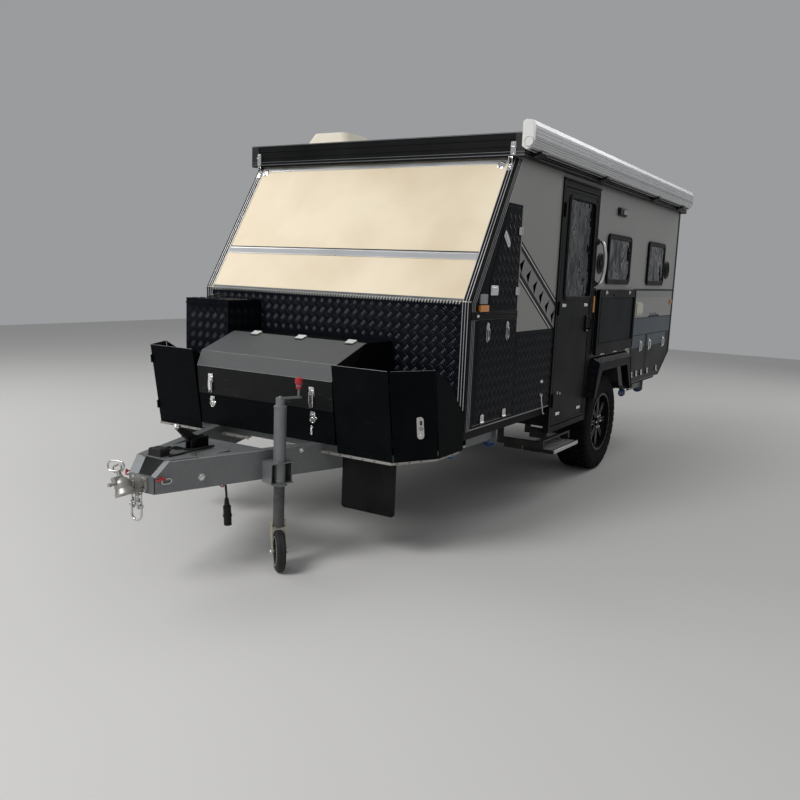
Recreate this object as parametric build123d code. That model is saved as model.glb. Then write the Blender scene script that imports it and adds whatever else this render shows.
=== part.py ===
from build123d import *
import math
import os

os.makedirs("parts", exist_ok=True)

# Off-road caravan on one axle, with a pop-top roof and a tunnel boot across its front.
# Millimetres, +Z up, +X the door side, -Y the towing end, ground at z = 0.
# Lengths along Y are written from the lower front wall, and each piece moves by
# middle_shift when it is saved, so that the stored part is centred over its box.

# Body shell
body_half = 970
wall = 30
skirt_z = 640
front_skirt_z = 670
knee_z = 1384
slope_rise = 826
slope_run = 510
wall_top_z = 2299.7
rear_y = 4490
departure_run = 350
departure_z = 850
floor_bottom_z = 612
floor_top_z = 680
leaf_gap = 5
seat_gap = 0.3
pin_gap = 0.05
hinge_out = 2
hinge_radius = 6
hinge_long = 46
strap_long = 40
strap_bite = 1

# Drawbar and rails
rail_deep = 150
rail_wide = 50
rail_wall = 4
rail_cap = 6
rail_half = 575
rail_rear_inset = 385
drawbar_front_y = -1400
drawbar_front_half = 89
drawbar_bevel = (70, 71)
nose_plate_ys = (-1326, -1190)
cross_deep = 50
cross_ys = (900, 1700, 2940)
drawbar_ties = (-1120, -880)
guard_bar_ys = (-455, -300)
guard_bar_inset = 150

# Coupling: a cast ball head that turns on a shaft in a housing on the drawbar's end
ball_radius = 25.4
ball_deep = 32
shaft_z = 512
shaft_radius = 15
housing_radius = 30
housing_long = 44
head_y = -1512
head_roll = 25
mouth_radius = 47
mouth_drop = 42
crown_radius = 38
crown_rise = 40
plunger_reach = 73
handle_wire = 4.5
chain_wire = 5
link_half = 10
link_bend = 12
lug_x = 20
lug_thick = 8
lug_hole = 7
lug_hole_z = 470
shackle_wire = 6
shackle_half = 33
shackle_drop = 38
brake_pivot_back = 70
brake_cheek_half = 22
brake_cheek_thick = 8
brake_lever_thick = 18
brake_knob_radius = 13

# Wheels and trailing arms
axle_y = 2500
tyre_radius = 390
tyre_width = 262
tyre_inset = 15
bead_radius = 222
stub_radius = 24
spokes = 8
arm_pivot_y = 2030
arm_pivot_z = 442
arm_x0 = 596
arm_x1 = 650
hanger_wide = 120
hanger_drop = 40
pivot_boss = 6
spring_y = 2440
spring_seat = 90
spring_seat_thick = 12
spring_turns = 6

# Jockey wheel
jockey_x = 355
jockey_y = -830
jockey_pivot_z = 510
jockey_tube_radius = 31.5
jockey_tube_wall = 3
jockey_tube_stub = 17
jockey_tube_top_z = 845
jockey_leg_bottom_z = 222
jockey_leg_top_z = 640
jockey_wheel_radius = 105
jockey_wheel_wide = 52
jockey_trail = 42
jockey_channel_wide = 124
jockey_plate = 6
jockey_collar_radius = 41
jockey_spigot_radius = 18
jockey_cheek = 5
jockey_head_radius = 24
jockey_crank_z = (878, 888)
jockey_crank_long = 118
jockey_crank_wide = 18
jockey_knob_z = (928, 982)
jockey_knob_radii = (14, 20)
castor_turn = -132

# Corner steadies
steady_front_y = 120
steady_rear_inset = 1005
steady_inset = (187, 113)
steady_ear = 6
steady_play = 9
steady_bar_inset = 70
steady_pin_z = 548
steady_pin_radius = 8
steady_reach = 95
steady_length = 430

# Step
step_runner_ys = ((1322, 1345), (1825, 1848))
step_runner_z = (352, 398)
step_deep = 240
step_proud = 30
step_arm_long = 100
step_arm_thick = 12
step_grooves = 7
step_runner_inset = 45
step_tread_z = (322, 346)

# Door, windows and hatches of the side walls, as (y, z)
door_y0 = 1250
door_y1 = 2000
door_z0 = 480
door_z1 = 2170
door_rim = 38
door_pane = (1400, 1915, 1405, 2070)
door_pane_corner = 40
door_frame_out = 8
door_leaf_out = 4
door_lock = (1868, 1925, 1150, 1270)
door_pull_out = 40
glass_thick = 6
door_hinge_zs = (700, 1330, 1980)
well_deep = 330
well_sheet = 4
window_z0 = 1500
window_z1 = 1885
window_front_ys = (2260, 2880)
window_rear_inset = (1080, 500)
rear_window_half = 380
window_band = 32
window_corner = 50
window_proud = 14
pane_thick = 5
boot_hole = ((92, 700), (92, 1280), (622, 1280), (622, 700))
upper_hole = ((215, 1335), (215, 1490), (415, 1925), (613, 1925), (613, 1335))
middle_hole_inset = (1350, 920)
rear_hole_inset = (860, 190)
hatch_zs = (695, 1060)
hatch_cut = (200, 120)
boot_hinge_ys = (108, 408)
middle_hinge_ys = (60, 210, 370)
rear_hinge_ys = (80, 400)
arch_hole = ((2055, 600), (2200, 840), (2860, 840), (3005, 600))
arch_foot = ((2008, skirt_z), (2086, 945), (2974, 945), (3052, skirt_z))
arch_lip = ((2032, skirt_z), (2118, 905), (2942, 905), (3028, skirt_z))
arch_out = 60
tub_play = 38
tub_sheet = 5
table_y = (2090, 3070)
table_z = (962, 1460)
table_deep = 26
table_rim = 62

# Roof and awning
roof_proud = 45
roof_front_y = 480
roof_rear_proud = 35
roof_bottom_z = 2205
roof_top_z = 2345
roof_band = 20
roof_lip = 5
roof_sheet_z = 2300
vent_middle = (-540, 860)
vent_side = 380
vent_tall = 105
vent_base = 25
vent_taper = (20, 90)
awning_deep = 80
awning_front_y = 450
awning_rear_inset = 70
awning_z = (2238, 2405)
canvas_z = (2245, 2299.7)
canvas_thick = 4

# Boxes and guards on the drawbar, as (y, z)
toolbox_half = 480
sheet = 4
toolbox_hinge = (-262, 1139)
toolbox_ridge = (-537, 1040)
toolbox_knee = (-574, 955)
toolbox_seam = (-552, 788)
toolbox_foot = (-528, floor_bottom_z)
guard_top_z = 1045
guard_bottom_z = 573
guard_lean = 80
guard_front_y = -600
guard_side_y = -360
guard_edge = 6
guard_inner_x = 492
guard_corner_inset = 130
toolbox_hinge_xs = (-295, 39, 387)
gas_x = (500, 850)
gas_y = (-300, -12)
gas_z1 = 1322
gas_lid_deep = 34
gas_pin_radius = 5
gas_hinge_inset = 60
flap_insets = (47, 55)
flap_z = 245
flap_thick = 8
flap_corner = 20

# Inside
partition_y = 650
partition_thick = 25
shelf_z = (1285, 1330)
bed_long = 1380
bed_z = (1070, 1090)
mattress_tall = 140
galley_y = (1300, 2050)
galley_deep = 480
galley_z = 1560
joinery_board = 18
tank_half = 480
tank_z = (472, 606)
tank_front_ys = (985, 1620)
tank_rear_inset = (1470, 1050)
side_lamp_spots = ((94, 200, 1332, 1368), (2008, 2026, 1290, 1410))
rear_lamp_inset = (130, 94)
rear_lamp_zs = (1328, 1364)
tail_lamp_inset = (210, 70)
tail_lamp_zs = (980, 1260)
tail_lamp_out = 24
handle_y = 2042
handle_zs = (1502, 1808)
handle_out = 66

# Places that follow from the sizes
rail_top_z = floor_bottom_z
departure_y = rear_y - departure_run
rail_rear_y = rear_y - rail_rear_inset
between_rails = (*cross_ys, rail_rear_y - cross_deep)
guard_bar_half = body_half - guard_bar_inset
tyre_outer_x = body_half - tyre_inset
tub_x = tyre_outer_x - tyre_width - tub_play
steady_ys = (steady_front_y, rear_y - steady_rear_inset)
steady_x = (body_half - steady_inset[0], body_half - steady_inset[1])
steady_arm_x = (steady_x[0] + steady_play, steady_x[1] - steady_play)
step_x = (body_half + step_proud - step_deep, body_half + step_proud)
step_runner_x = body_half - step_runner_inset
well_x = body_half - well_deep
window_ys = (window_front_ys, (rear_y - window_rear_inset[0], rear_y - window_rear_inset[1]))
middle_hole_ys = (rear_y - middle_hole_inset[0], rear_y - middle_hole_inset[1])
rear_hole_ys = (rear_y - rear_hole_inset[0], rear_y - rear_hole_inset[1])
middle_hole = ((middle_hole_ys[0], hatch_zs[0]), (middle_hole_ys[0], hatch_zs[1]),
               (middle_hole_ys[1], hatch_zs[1]), (middle_hole_ys[1], hatch_zs[0]))
rear_hole = ((rear_hole_ys[0], hatch_zs[0]), (rear_hole_ys[0], hatch_zs[1]), (rear_hole_ys[1], hatch_zs[1]),
             (rear_hole_ys[1], hatch_zs[0] + hatch_cut[1]), (rear_hole_ys[1] - hatch_cut[0], hatch_zs[0]))
roof_half = body_half + roof_proud
roof_y = (roof_front_y, rear_y + roof_rear_proud)
awning_x1 = roof_half + awning_deep
awning_y = (awning_front_y, rear_y - awning_rear_inset)
guard_x = (guard_inner_x, body_half - guard_corner_inset)
flap_x = (guard_x[0] - flap_insets[0], guard_x[1] - flap_insets[1])
bed_y = rear_y - bed_long
tank_ys = (tank_front_ys, (rear_y - tank_rear_inset[0], rear_y - tank_rear_inset[1]))
nose_y = head_y - plunger_reach
middle_shift = (roof_y[1] + nose_y) / 2
hinge_x = body_half + seat_gap + hinge_radius
door_hinge_x = hinge_x + door_frame_out
door_hinge_y = door_y0 + door_rim
rail_bottom_z = rail_top_z - rail_deep
inner_half = body_half - wall
low = (Align.CENTER, Align.CENTER, Align.MIN)
drawbar_turn = (rail_half - drawbar_front_half) / -drawbar_front_y
drawbar_angle = math.degrees(math.atan(drawbar_turn))
toolbox_pin = (toolbox_hinge[0], toolbox_hinge[1] + hinge_radius + seat_gap)
jockey_bracket_drop = 12
jockey_tube_bottom_z = rail_bottom_z - jockey_tube_stub


def slab(x0, x1, y0, y1, z0, z1):
    block = Box(x1 - x0, y1 - y0, z1 - z0)
    return Pos((x0 + x1) / 2, (y0 + y1) / 2, (z0 + z1) / 2) * block


def along_x(outline, x0, x1):
    face = make_face(Polyline(*[(x0, y, z) for y, z in outline], close=True))
    return extrude(face, amount=x1 - x0, dir=(1, 0, 0))


def along_y(outline, y0, y1):
    face = make_face(Polyline(*[(x, y0, z) for x, z in outline], close=True))
    return extrude(face, amount=y1 - y0, dir=(0, 1, 0))


def along_z(outline, z0, z1):
    face = make_face(Polyline(*[(x, y, z0) for x, y in outline], close=True))
    return extrude(face, amount=z1 - z0, dir=(0, 0, 1))


def inset_along_x(outline, gap, x0, x1):
    face = make_face(Polyline(*[(x0, y, z) for y, z in outline], close=True))
    smaller = offset(face, amount=-gap, kind=Kind.INTERSECTION)
    return extrude(smaller, amount=x1 - x0, dir=(1, 0, 0))


def round_plate(x0, x1, ys, zs, radius):
    middle = (x0, (ys[0] + ys[1]) / 2, (zs[0] + zs[1]) / 2)
    plane = Plane(origin=middle, x_dir=(0, 1, 0), z_dir=(1, 0, 0))
    return extrude(plane * RectangleRounded(ys[1] - ys[0], zs[1] - zs[0], radius), amount=x1 - x0)


def rod(start, end, radius):
    start = Vector(*start)
    run = Vector(*end) - start
    return Plane(origin=start, z_dir=run) * Cylinder(radius, run.length, align=low)


def bent_rod(points, bend, radius):
    path = FilletPolyline(*points, radius=bend)
    return sweep(Plane(origin=path @ 0, z_dir=path % 0) * Circle(radius), path=path)


def joined(shapes):
    return Part() + shapes


def other_side(shape):
    return mirror(shape, about=Plane.YZ)


def save(name, *shapes):
    solids = []
    for shape in shapes:
        solids.extend((Pos(0, -middle_shift, 0) * shape).solids())
    whole = solids[0] if len(solids) == 1 else Compound(children=solids)
    export_step(whole, f"parts/{name}.step")
    print(name, len(solids))


def save_pair(name, shape):
    save(name + "_left", shape)
    save(name + "_right", other_side(shape))


def slope_y(z, depth=0):
    """Y of the sloping front panel at a height, at a depth behind its outer face."""
    length = math.hypot(slope_run, slope_rise)
    return (z - knee_z) * slope_run / slope_rise + depth * length / slope_rise


def rail_outer_x(y):
    """X of a drawbar rail's outer face."""
    return drawbar_front_half + drawbar_turn * (y - drawbar_front_y)


# Galvanised chassis: two long rails, the A-frame drawbar and the tubes across them
def square_tube(x0, x1, y0, y1, z0, z1):
    tube = slab(x0, x1, y0, y1, z0, z1)
    if x1 - x0 > y1 - y0:
        return tube - slab(x0, x1, y0 + rail_wall, y1 - rail_wall, z0 + rail_wall, z1 - rail_wall)
    return tube - slab(x0 + rail_wall, x1 - rail_wall, y0, y1, z0 + rail_wall, z1 - rail_wall)


def drawbar_rail():
    length = 1.1 * math.hypot(drawbar_front_y, rail_half)
    tube = square_tube(-rail_wide, 0, 0, length, rail_bottom_z, rail_top_z)
    run, drop = drawbar_bevel
    bevel = ((-1, rail_top_z + 1), (run, rail_top_z + 1), (run, rail_top_z), (0, rail_top_z - drop),
             (-1, rail_top_z - drop))
    tube = tube - along_x(bevel, -rail_wide - 1, 1)
    tube = Pos(drawbar_front_half, drawbar_front_y, 0) * Rot(0, 0, -drawbar_angle) * tube
    return tube - slab(0, 2 * rail_half, 0, length, rail_bottom_z - 1, rail_top_z + 1)


def bevel_plate():
    """Sheet that closes the bevelled top of one rail, inside its walls."""
    run, drop = drawbar_bevel
    plate = along_x(((0, rail_top_z - drop), (run, rail_top_z), (run + rail_wall, rail_top_z - rail_wall),
                     (rail_wall, rail_top_z - drop - rail_wall)), rail_wall - rail_wide - 1, 1 - rail_wall)
    plate = Pos(drawbar_front_half, drawbar_front_y, 0) * Rot(0, 0, -drawbar_angle) * plate
    return plate + other_side(plate)


def cross_tube(y, half):
    return square_tube(-half, half, y, y + cross_deep, rail_top_z - cross_deep, rail_top_z)


def steady_ears(y):
    pin_y = y + steady_reach
    ears = []
    for x in (steady_x[0], steady_x[1] - steady_ear):
        ears.append(slab(x, x + steady_ear, y + cross_deep - 1, pin_y + 20, steady_pin_z - 22, rail_top_z))
    hole = rod((steady_x[0] - 5, pin_y, steady_pin_z), (steady_x[1] + 5, pin_y, steady_pin_z),
               steady_pin_radius + pin_gap)
    return joined(ears) - hole


def beside_rail(shape):
    """Places a shape drawn with X out of the rail, Y along it and its origin on the jockey pivot."""
    return Pos(jockey_x, jockey_y, jockey_pivot_z) * Rot(0, 0, -drawbar_angle) * shape


jockey_offset = (jockey_x - rail_outer_x(jockey_y)) * math.cos(math.radians(drawbar_angle))


def jockey_bracket():
    """Channel welded to the rail, with two cross plates that the tube passes through."""
    half = jockey_channel_wide / 2
    z0 = rail_bottom_z - jockey_bracket_drop - jockey_pivot_z
    z1 = rail_bottom_z + 100 - jockey_pivot_z
    back = slab(-jockey_offset - 1, jockey_plate - jockey_offset, -half, half, z0, z1)
    bracket = [back]
    for y in (-half, half - jockey_plate):
        bracket.append(slab(-jockey_offset, jockey_tube_radius - 8, y, y + jockey_plate, z0, z1))
    for z in (z0, z1 - jockey_plate):
        bracket.append(slab(-jockey_offset, jockey_tube_radius + jockey_plate, -half + 1, half - 1,
                            z, z + jockey_plate))
    bore = rod((0, 0, z0 - 1), (0, 0, z1 + 1), jockey_tube_radius + pin_gap)
    return beside_rail(joined(bracket) - bore)


def chassis_frame():
    sides = [drawbar_rail()]
    sides.append(square_tube(rail_half - rail_wide, rail_half, 0, rail_rear_y, rail_bottom_z, rail_top_z))
    for y in steady_ys:
        sides.append(steady_ears(y))
    hanger_ys = (arm_pivot_y - hanger_wide / 2, arm_pivot_y + hanger_wide / 2)
    sides.append(slab(rail_half - 1, arm_x0 - pivot_boss, *hanger_ys, arm_pivot_z - hanger_drop, rail_top_z))
    sides.append(slab(rail_half - 1, arm_x1 - 4, spring_y - spring_seat / 2, spring_y + spring_seat / 2,
                      rail_top_z - spring_seat_thick, rail_top_z))
    frame = sides + [other_side(side) for side in sides]
    for y in between_rails:
        frame.append(cross_tube(y, rail_half - rail_wide + 1))
    for y in steady_ys:
        frame.append(cross_tube(y, body_half - steady_bar_inset))
    for y in drawbar_ties:
        frame.append(cross_tube(y, rail_outer_x(y) - rail_wide / 2))
    for y in guard_bar_ys:
        frame.append(cross_tube(y, guard_bar_half))
    cap_half = drawbar_front_half - rail_cap
    cap_rear_y = drawbar_front_y + rail_wide * math.sin(math.radians(drawbar_angle))
    frame.append(slab(-cap_half, cap_half, drawbar_front_y - rail_cap, cap_rear_y,
                      rail_bottom_z, rail_top_z - drawbar_bevel[1]))
    nose = []
    for turn in (1, -1):
        for y in nose_plate_ys[::turn]:
            nose.append((turn * (rail_outer_x(y) - rail_cap), y))
    frame.append(along_z(nose, rail_top_z, rail_top_z + rail_cap))
    frame.append(bevel_plate())
    tie = drawbar_ties[0]
    frame.append(slab(-150, 150, tie, tie + 150, rail_top_z - 8, rail_top_z))
    for y0, y1 in step_runner_ys:
        frame.append(slab(rail_half - 1, step_runner_x, y0, y1, *step_runner_z))
        frame.append(slab(rail_half - 1, rail_half + 40, y0, y1, step_runner_z[0], rail_bottom_z + 40))
    bar_ys = (step_runner_ys[0][0], step_runner_ys[1][1])
    bar_z = (step_runner_z[1] - 1, step_runner_z[1] + 14)
    frame.append(slab(step_runner_x - 20, step_runner_x, *bar_ys, *bar_z))
    frame.append(jockey_bracket())
    return joined(frame)


def on_head(shape):
    """Places a shape drawn with the ball's axis along Z and the shaft along Y, turned as it is parked."""
    return Pos(0, head_y, shaft_z) * Rot(0, -head_roll, 0) * shape


def ring_link(half, bend, wire):
    """Link of round wire in the XZ plane, its long way along Z."""
    legs = [rod((x, 0, -half), (x, 0, half), wire) for x in (-bend, bend)]
    ends = []
    for z, turn in ((half, 0), (-half, 180)):
        section = Plane(origin=(bend, 0, 0), z_dir=(0, 0, 1)) * Circle(wire)
        arc = revolve(section, axis=Axis.Y, revolution_arc=-180)
        ends.append(Pos(0, 0, z) * Rot(0, turn, 0) * arc)
    return joined(legs + ends)


def coupling():
    flange_y = drawbar_front_y - rail_cap
    housing_y = flange_y - housing_long
    flange_half = housing_radius + 16
    flange = slab(-flange_half, flange_half, flange_y - 10, flange_y, shaft_z - 42, shaft_z + 29)
    housing = rod((0, flange_y, shaft_z), (0, housing_y, shaft_z), housing_radius)
    bore = rod((0, flange_y - 12, shaft_z), (0, housing_y - 1, shaft_z), shaft_radius + pin_gap)
    lug_y = chain_y()
    lug = slab(lug_x - lug_thick / 2, lug_x + lug_thick / 2, lug_y - 15, lug_y + 15,
               lug_hole_z - 2 * lug_hole, shaft_z - 20)
    lug = lug - rod((0, lug_y, lug_hole_z), (2 * lug_x, lug_y, lug_hole_z), lug_hole)
    return joined([flange, housing, lug, other_side(lug)]) - bore


def coupling_head():
    crown = ThreePointArc((16, 0, crown_rise), (crown_radius - 7, 0, crown_rise - 11), (crown_radius, 0, 8))
    upper = Polyline((0, 0, -mouth_drop), (0, 0, crown_rise), (16, 0, crown_rise))
    lower = Polyline((crown_radius, 0, 8), (crown_radius, 0, -12), (mouth_radius, 0, 8 - mouth_drop),
                     (mouth_radius, 0, -mouth_drop), (0, 0, -mouth_drop))
    bell = revolve(make_face([*upper.edges(), *crown.edges(), *lower.edges()]), axis=Axis.Z)
    shaft_y = drawbar_front_y - rail_cap - housing_long - 1 - head_y
    neck = rod((0, ball_radius + 4, 0), (0, shaft_y, 0), shaft_radius + 7)
    collar = rod((0, shaft_y - 12, 0), (0, shaft_y, 0), housing_radius - 3)
    shaft = rod((0, shaft_y - 1, 0), (0, shaft_y + housing_long - 14, 0), shaft_radius)
    post = Pos(0, 0, crown_rise - 6) * Cone(13, 9, 40, align=low)
    ring = Pos(0, 0, crown_rise + 46) * Rot(0, 90, 0) * ring_link(16, 14, handle_wire)
    plunger = rod((0, -crown_radius + 4, 18), (0, -plunger_reach + 14, 18), 6)
    knob = rod((0, -plunger_reach + 15, 18), (0, -plunger_reach, 18), 9)
    latch = slab(-13, 13, -crown_radius - 4, -10, 14, crown_rise + 8)
    body = joined([bell, neck, collar, shaft, post, ring, plunger, knob, latch])
    socket = Pos(0, 0, -mouth_drop) * Cylinder(ball_radius, ball_deep, align=low)
    dome = Pos(0, 0, ball_deep - mouth_drop) * Sphere(ball_radius)
    return on_head(body - socket - dome)


def handbrake():
    """Lever between two cheeks, lying forward towards the coupling as when it is off."""
    y = drawbar_ties[0] + brake_pivot_back
    z = rail_top_z
    outer = brake_cheek_half
    inner = outer - brake_cheek_thick
    cheek = slab(inner, outer, y - 55, y + 60, z, z + 62)
    pin = rod((-outer, y, z + 34), (outer, y, z + 34), 7)
    outline = ((y + 34, z + 14), (y + 24, z + 58), (y - 20, z + 76), (y - 122, z + 132), (y - 136, z + 118),
               (y - 60, z + 48), (y - 26, z + 16))
    lever = along_x(outline, -brake_lever_thick / 2, brake_lever_thick / 2)
    knob = Pos(0, y - 133, z + 130) * Sphere(brake_knob_radius)
    return joined([cheek, other_side(cheek), pin, lever, knob])


def chain_y():
    return drawbar_front_y - rail_cap - housing_long + 15


def safety_chain():
    """Two links from a lug under the housing, the second round the shackle's pin."""
    inside = link_bend - chain_wire
    hang = lug_hole_z - lug_hole + seat_gap - math.sqrt(inside ** 2 - (lug_thick / 2) ** 2)
    first_z = hang - link_half
    step = 2 * (link_half + link_bend) - 2 * chain_wire - seat_gap
    link = ring_link(link_half, link_bend, chain_wire)
    first = Pos(lug_x, chain_y(), first_z) * link
    second = Pos(lug_x, chain_y(), first_z - step) * Rot(0, 0, 90) * link
    pin_z = first_z - step - link_half - inside + shackle_wire + seat_gap
    return first, second, pin_z


def shackle(pin_z):
    """Bow shackle that holds both chains' last links."""
    y = chain_y()
    section = Plane(origin=(shackle_half, 0, 0), z_dir=(0, 0, 1)) * Circle(shackle_wire)
    half_ring = revolve(section, axis=Axis.Y, revolution_arc=-180)
    parts = [Pos(0, y, pin_z - shackle_drop) * Rot(0, 180, 0) * half_ring]
    for x in (-shackle_half, shackle_half):
        parts.append(rod((x, y, pin_z - shackle_drop), (x, y, pin_z), shackle_wire))
        parts.append(rod((x - 7, y, pin_z), (x + 7, y, pin_z), 10))
    parts.append(rod((-shackle_half - 12, y, pin_z), (shackle_half + 8, y, pin_z), shackle_wire))
    return joined(parts)


# Trailer plug on its short lead under the drawbar
def plug_lead():
    points = [(0, -855, 500), (2, -853, 455), (-1, -846, 405), (1, -838, 355), (0, -833, 305)]
    return points


lead_radius = 6
plug_radius = 21
plug_tall = 150


def plug_cord():
    points = plug_lead()
    bends = []
    for before, here, after in zip(points, points[1:], points[2:]):
        first = Vector(*here) - Vector(*before)
        second = Vector(*after) - Vector(*here)
        half_turn = math.radians(first.get_angle(second) / 2)
        bends.append(0.45 * min(first.length, second.length) / math.tan(half_turn))
    print("lead bend radii", [round(bend) for bend in bends])
    path = FilletPolyline(*points, radius=bends)
    return sweep(Plane(origin=path @ 0, z_dir=path % 0) * Circle(lead_radius), path=path)


def trailer_plug():
    points = plug_lead()
    top = Vector(*points[-1])
    run = (top - Vector(*points[-2])).normalized()
    frame = Plane(origin=top, z_dir=run)
    boot = frame * Cone(lead_radius + 4, plug_radius - 5, 45, align=low)
    body = frame * (Pos(0, 0, 44) * Cylinder(plug_radius, plug_tall - 44, align=low))
    ring = frame * (Pos(0, 0, 92) * Cylinder(plug_radius + 3, 10, align=low))
    return joined([boot, body, ring])


def lead_gland():
    top = plug_lead()[0]
    run = (Vector(*top) - Vector(*plug_lead()[1])).normalized()
    return rod(top, (Vector(*top) + run * (rail_top_z - cross_deep + 6 - top[2])).to_tuple(), 14)


# Body shell: walls as thick as the doors, floor with wheel tubs and a step well
def side_outline():
    return ((0, front_skirt_z), (0, knee_z), (slope_y(wall_top_z), wall_top_z), (rear_y, wall_top_z),
            (rear_y, departure_z), (departure_y, skirt_z), (door_y1, skirt_z), (door_y1, door_z0),
            (door_y0, door_z0), (door_y0, front_skirt_z))


def window_hole(x0, x1, ys):
    inner_ys = (ys[0] + window_band - seat_gap, ys[1] - window_band + seat_gap)
    inner_zs = (window_z0 + window_band - seat_gap, window_z1 - window_band + seat_gap)
    return round_plate(x0, x1, inner_ys, inner_zs, window_corner - window_band / 2)


def side_wall(holes, door):
    x0 = inner_half - 1
    x1 = body_half + 1
    if door:
        shape = along_x(side_outline(), inner_half, body_half)
        shape = shape - slab(x0, x1, door_y0, door_y1, door_z0 - 1, door_z1)
    else:
        outline = side_outline()[:6] + ((door_y0, skirt_z), (door_y0, front_skirt_z))
        shape = along_x(outline, inner_half, body_half)
    for hole in holes:
        shape = shape - along_x(hole, x0, x1)
    for ys in window_ys:
        shape = shape - window_hole(x0, x1, ys)
    return shape - along_x(arch_hole, x0, x1)


def floor():
    plate = slab(-inner_half, inner_half, wall, departure_y - wall, floor_bottom_z, floor_top_z)
    frame_y0 = door_y0 + door_rim
    frame_y1 = door_y1 - door_rim
    well = slab(well_x, inner_half, frame_y0, frame_y1, door_z0 + door_rim, floor_top_z)
    well_room = slab(well_x + well_sheet, inner_half + 1, frame_y0 + well_sheet, frame_y1 - well_sheet,
                     door_z0 + door_rim + well_sheet, floor_top_z + 1)
    plate = plate + well - well_room
    tub = along_x(arch_hole, tub_x + tub_sheet, inner_half + 1)
    skin = ((2049, 600), (2197, 845), (2863, 845), (3011, 600))
    shell = along_x(skin, tub_x, inner_half) - slab(0, body_half, 0, rear_y, 590, floor_bottom_z)
    for turn in (lambda shape: shape, other_side):
        plate = plate + turn(shell)
        plate = plate - turn(tub)
    return plate


def front_wall():
    return slab(-inner_half, inner_half, 0, wall, floor_bottom_z, knee_z)


def front_slope():
    outline = ((0, knee_z), (slope_y(wall_top_z), wall_top_z), (slope_y(wall_top_z, wall), wall_top_z),
               (slope_y(knee_z, wall), knee_z))
    return along_x(outline, -inner_half, inner_half)


def rear_wall():
    rise = (departure_z - skirt_z) / (rear_y - departure_y)
    lift = wall * math.hypot(1, rise)
    inner_end = departure_y + (floor_top_z - skirt_z - lift) / rise
    inner_z = floor_top_z + rise * (rear_y - wall - inner_end)
    outline = ((rear_y, wall_top_z), (rear_y, departure_z), (departure_y, skirt_z),
               (departure_y - wall, skirt_z), (departure_y - wall, floor_top_z), (inner_end, floor_top_z),
               (rear_y - wall, inner_z), (rear_y - wall, wall_top_z))
    shape = along_x(outline, -inner_half, inner_half)
    frame = Plane(origin=(0, rear_y + 1, (window_z0 + window_z1) / 2), x_dir=(1, 0, 0), z_dir=(0, -1, 0))
    edge = window_band - seat_gap
    size = (2 * (rear_window_half - edge), window_z1 - window_z0 - 2 * edge)
    return shape - extrude(frame * RectangleRounded(*size, window_corner - window_band / 2), amount=wall + 2)


def partition():
    upright = slab(-inner_half, inner_half, partition_y, partition_y + partition_thick,
                   floor_top_z, canvas_z[0] - leaf_gap)
    shelf = slab(-inner_half, inner_half, wall, partition_y + 1, *shelf_z)
    return upright + shelf


def wheel_arch():
    foot = make_face(Polyline(*[(body_half, y, z) for y, z in arch_foot], close=True))
    lip = make_face(Polyline(*[(body_half + arch_out, y, z) for y, z in arch_lip], close=True))
    return loft([foot, lip]) - along_x(arch_hole, body_half - 1, body_half + arch_out + 1)


def door_frame():
    face_x = body_half + door_frame_out
    outer = round_plate(inner_half, face_x, (door_y0, door_y1), (door_z0, door_z1), 2)
    inner = round_plate(inner_half - 1, face_x + 1, (door_y0 + door_rim, door_y1 - door_rim),
                        (door_z0 + door_rim, door_z1 - door_rim), 12)
    return outer - inner


def door_leaf_span():
    edge = door_rim + leaf_gap
    return (door_y0 + edge, door_y1 - edge), (door_z0 + edge, door_z1 - edge)


def door_leaf():
    ys, zs = door_leaf_span()
    face_x = body_half + door_leaf_out
    leaf = round_plate(inner_half + leaf_gap, face_x, ys, zs, 10)
    pane = door_pane
    leaf = leaf - round_plate(inner_half, face_x + 5, pane[:2], pane[2:], door_pane_corner)
    lock = round_plate(face_x, face_x + 8, door_lock[:2], door_lock[2:], 8)
    pull_y = (door_lock[0] + door_lock[1]) / 2
    pull_x = body_half + door_pull_out
    pull = bent_rod([(face_x + 4, pull_y, door_lock[2] + 20), (pull_x, pull_y, door_lock[2] + 26),
                     (pull_x, pull_y, door_lock[3] - 20)], 12, 6)
    hinges = []
    for z in door_hinge_zs:
        z0 = z - hinge_long
        z1 = z + hinge_long
        hinges.append(rod((door_hinge_x, door_hinge_y, z0), (door_hinge_x, door_hinge_y, z1), hinge_radius))
        hinges.append(slab(face_x - strap_bite, door_hinge_x, door_hinge_y + strap_bite,
                           door_hinge_y + strap_long, z0, z1))
    return joined([leaf, lock, pull] + hinges)


def door_glass():
    pane = door_pane
    ys = (pane[0] + seat_gap, pane[1] - seat_gap)
    zs = (pane[2] + seat_gap, pane[3] - seat_gap)
    return round_plate(inner_half + 16, inner_half + 16 + glass_thick, ys, zs, door_pane_corner - seat_gap)


def window_frame(ys, x0=body_half):
    edge = window_band
    flange = round_plate(x0, x0 + window_proud, ys, (window_z0, window_z1), window_corner)
    sleeve = round_plate(x0 - wall, x0 + 1, (ys[0] + edge, ys[1] - edge),
                         (window_z0 + edge, window_z1 - edge), window_corner - edge / 2)
    hole = round_plate(x0 - wall - 1, x0 + window_proud + 1, (ys[0] + edge + 6, ys[1] - edge - 6),
                       (window_z0 + edge + 6, window_z1 - edge - 6), window_corner - edge / 2 - 6)
    return flange + sleeve - hole


def window_pane(ys, x0=body_half):
    edge = window_band + 6 + seat_gap
    return round_plate(x0 + 4, x0 + 4 + pane_thick, (ys[0] + edge, ys[1] - edge),
                       (window_z0 + edge, window_z1 - edge), window_corner - window_band / 2 - 6)


def rear_window(shape):
    """Turns a side window drawn about y = 0 to the rear wall."""
    return Pos(0, rear_y - body_half, 0) * Rot(0, 0, 90) * shape


def hatch_leaf(hole):
    return inset_along_x(hole, leaf_gap, inner_half, body_half + hinge_out)


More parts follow.
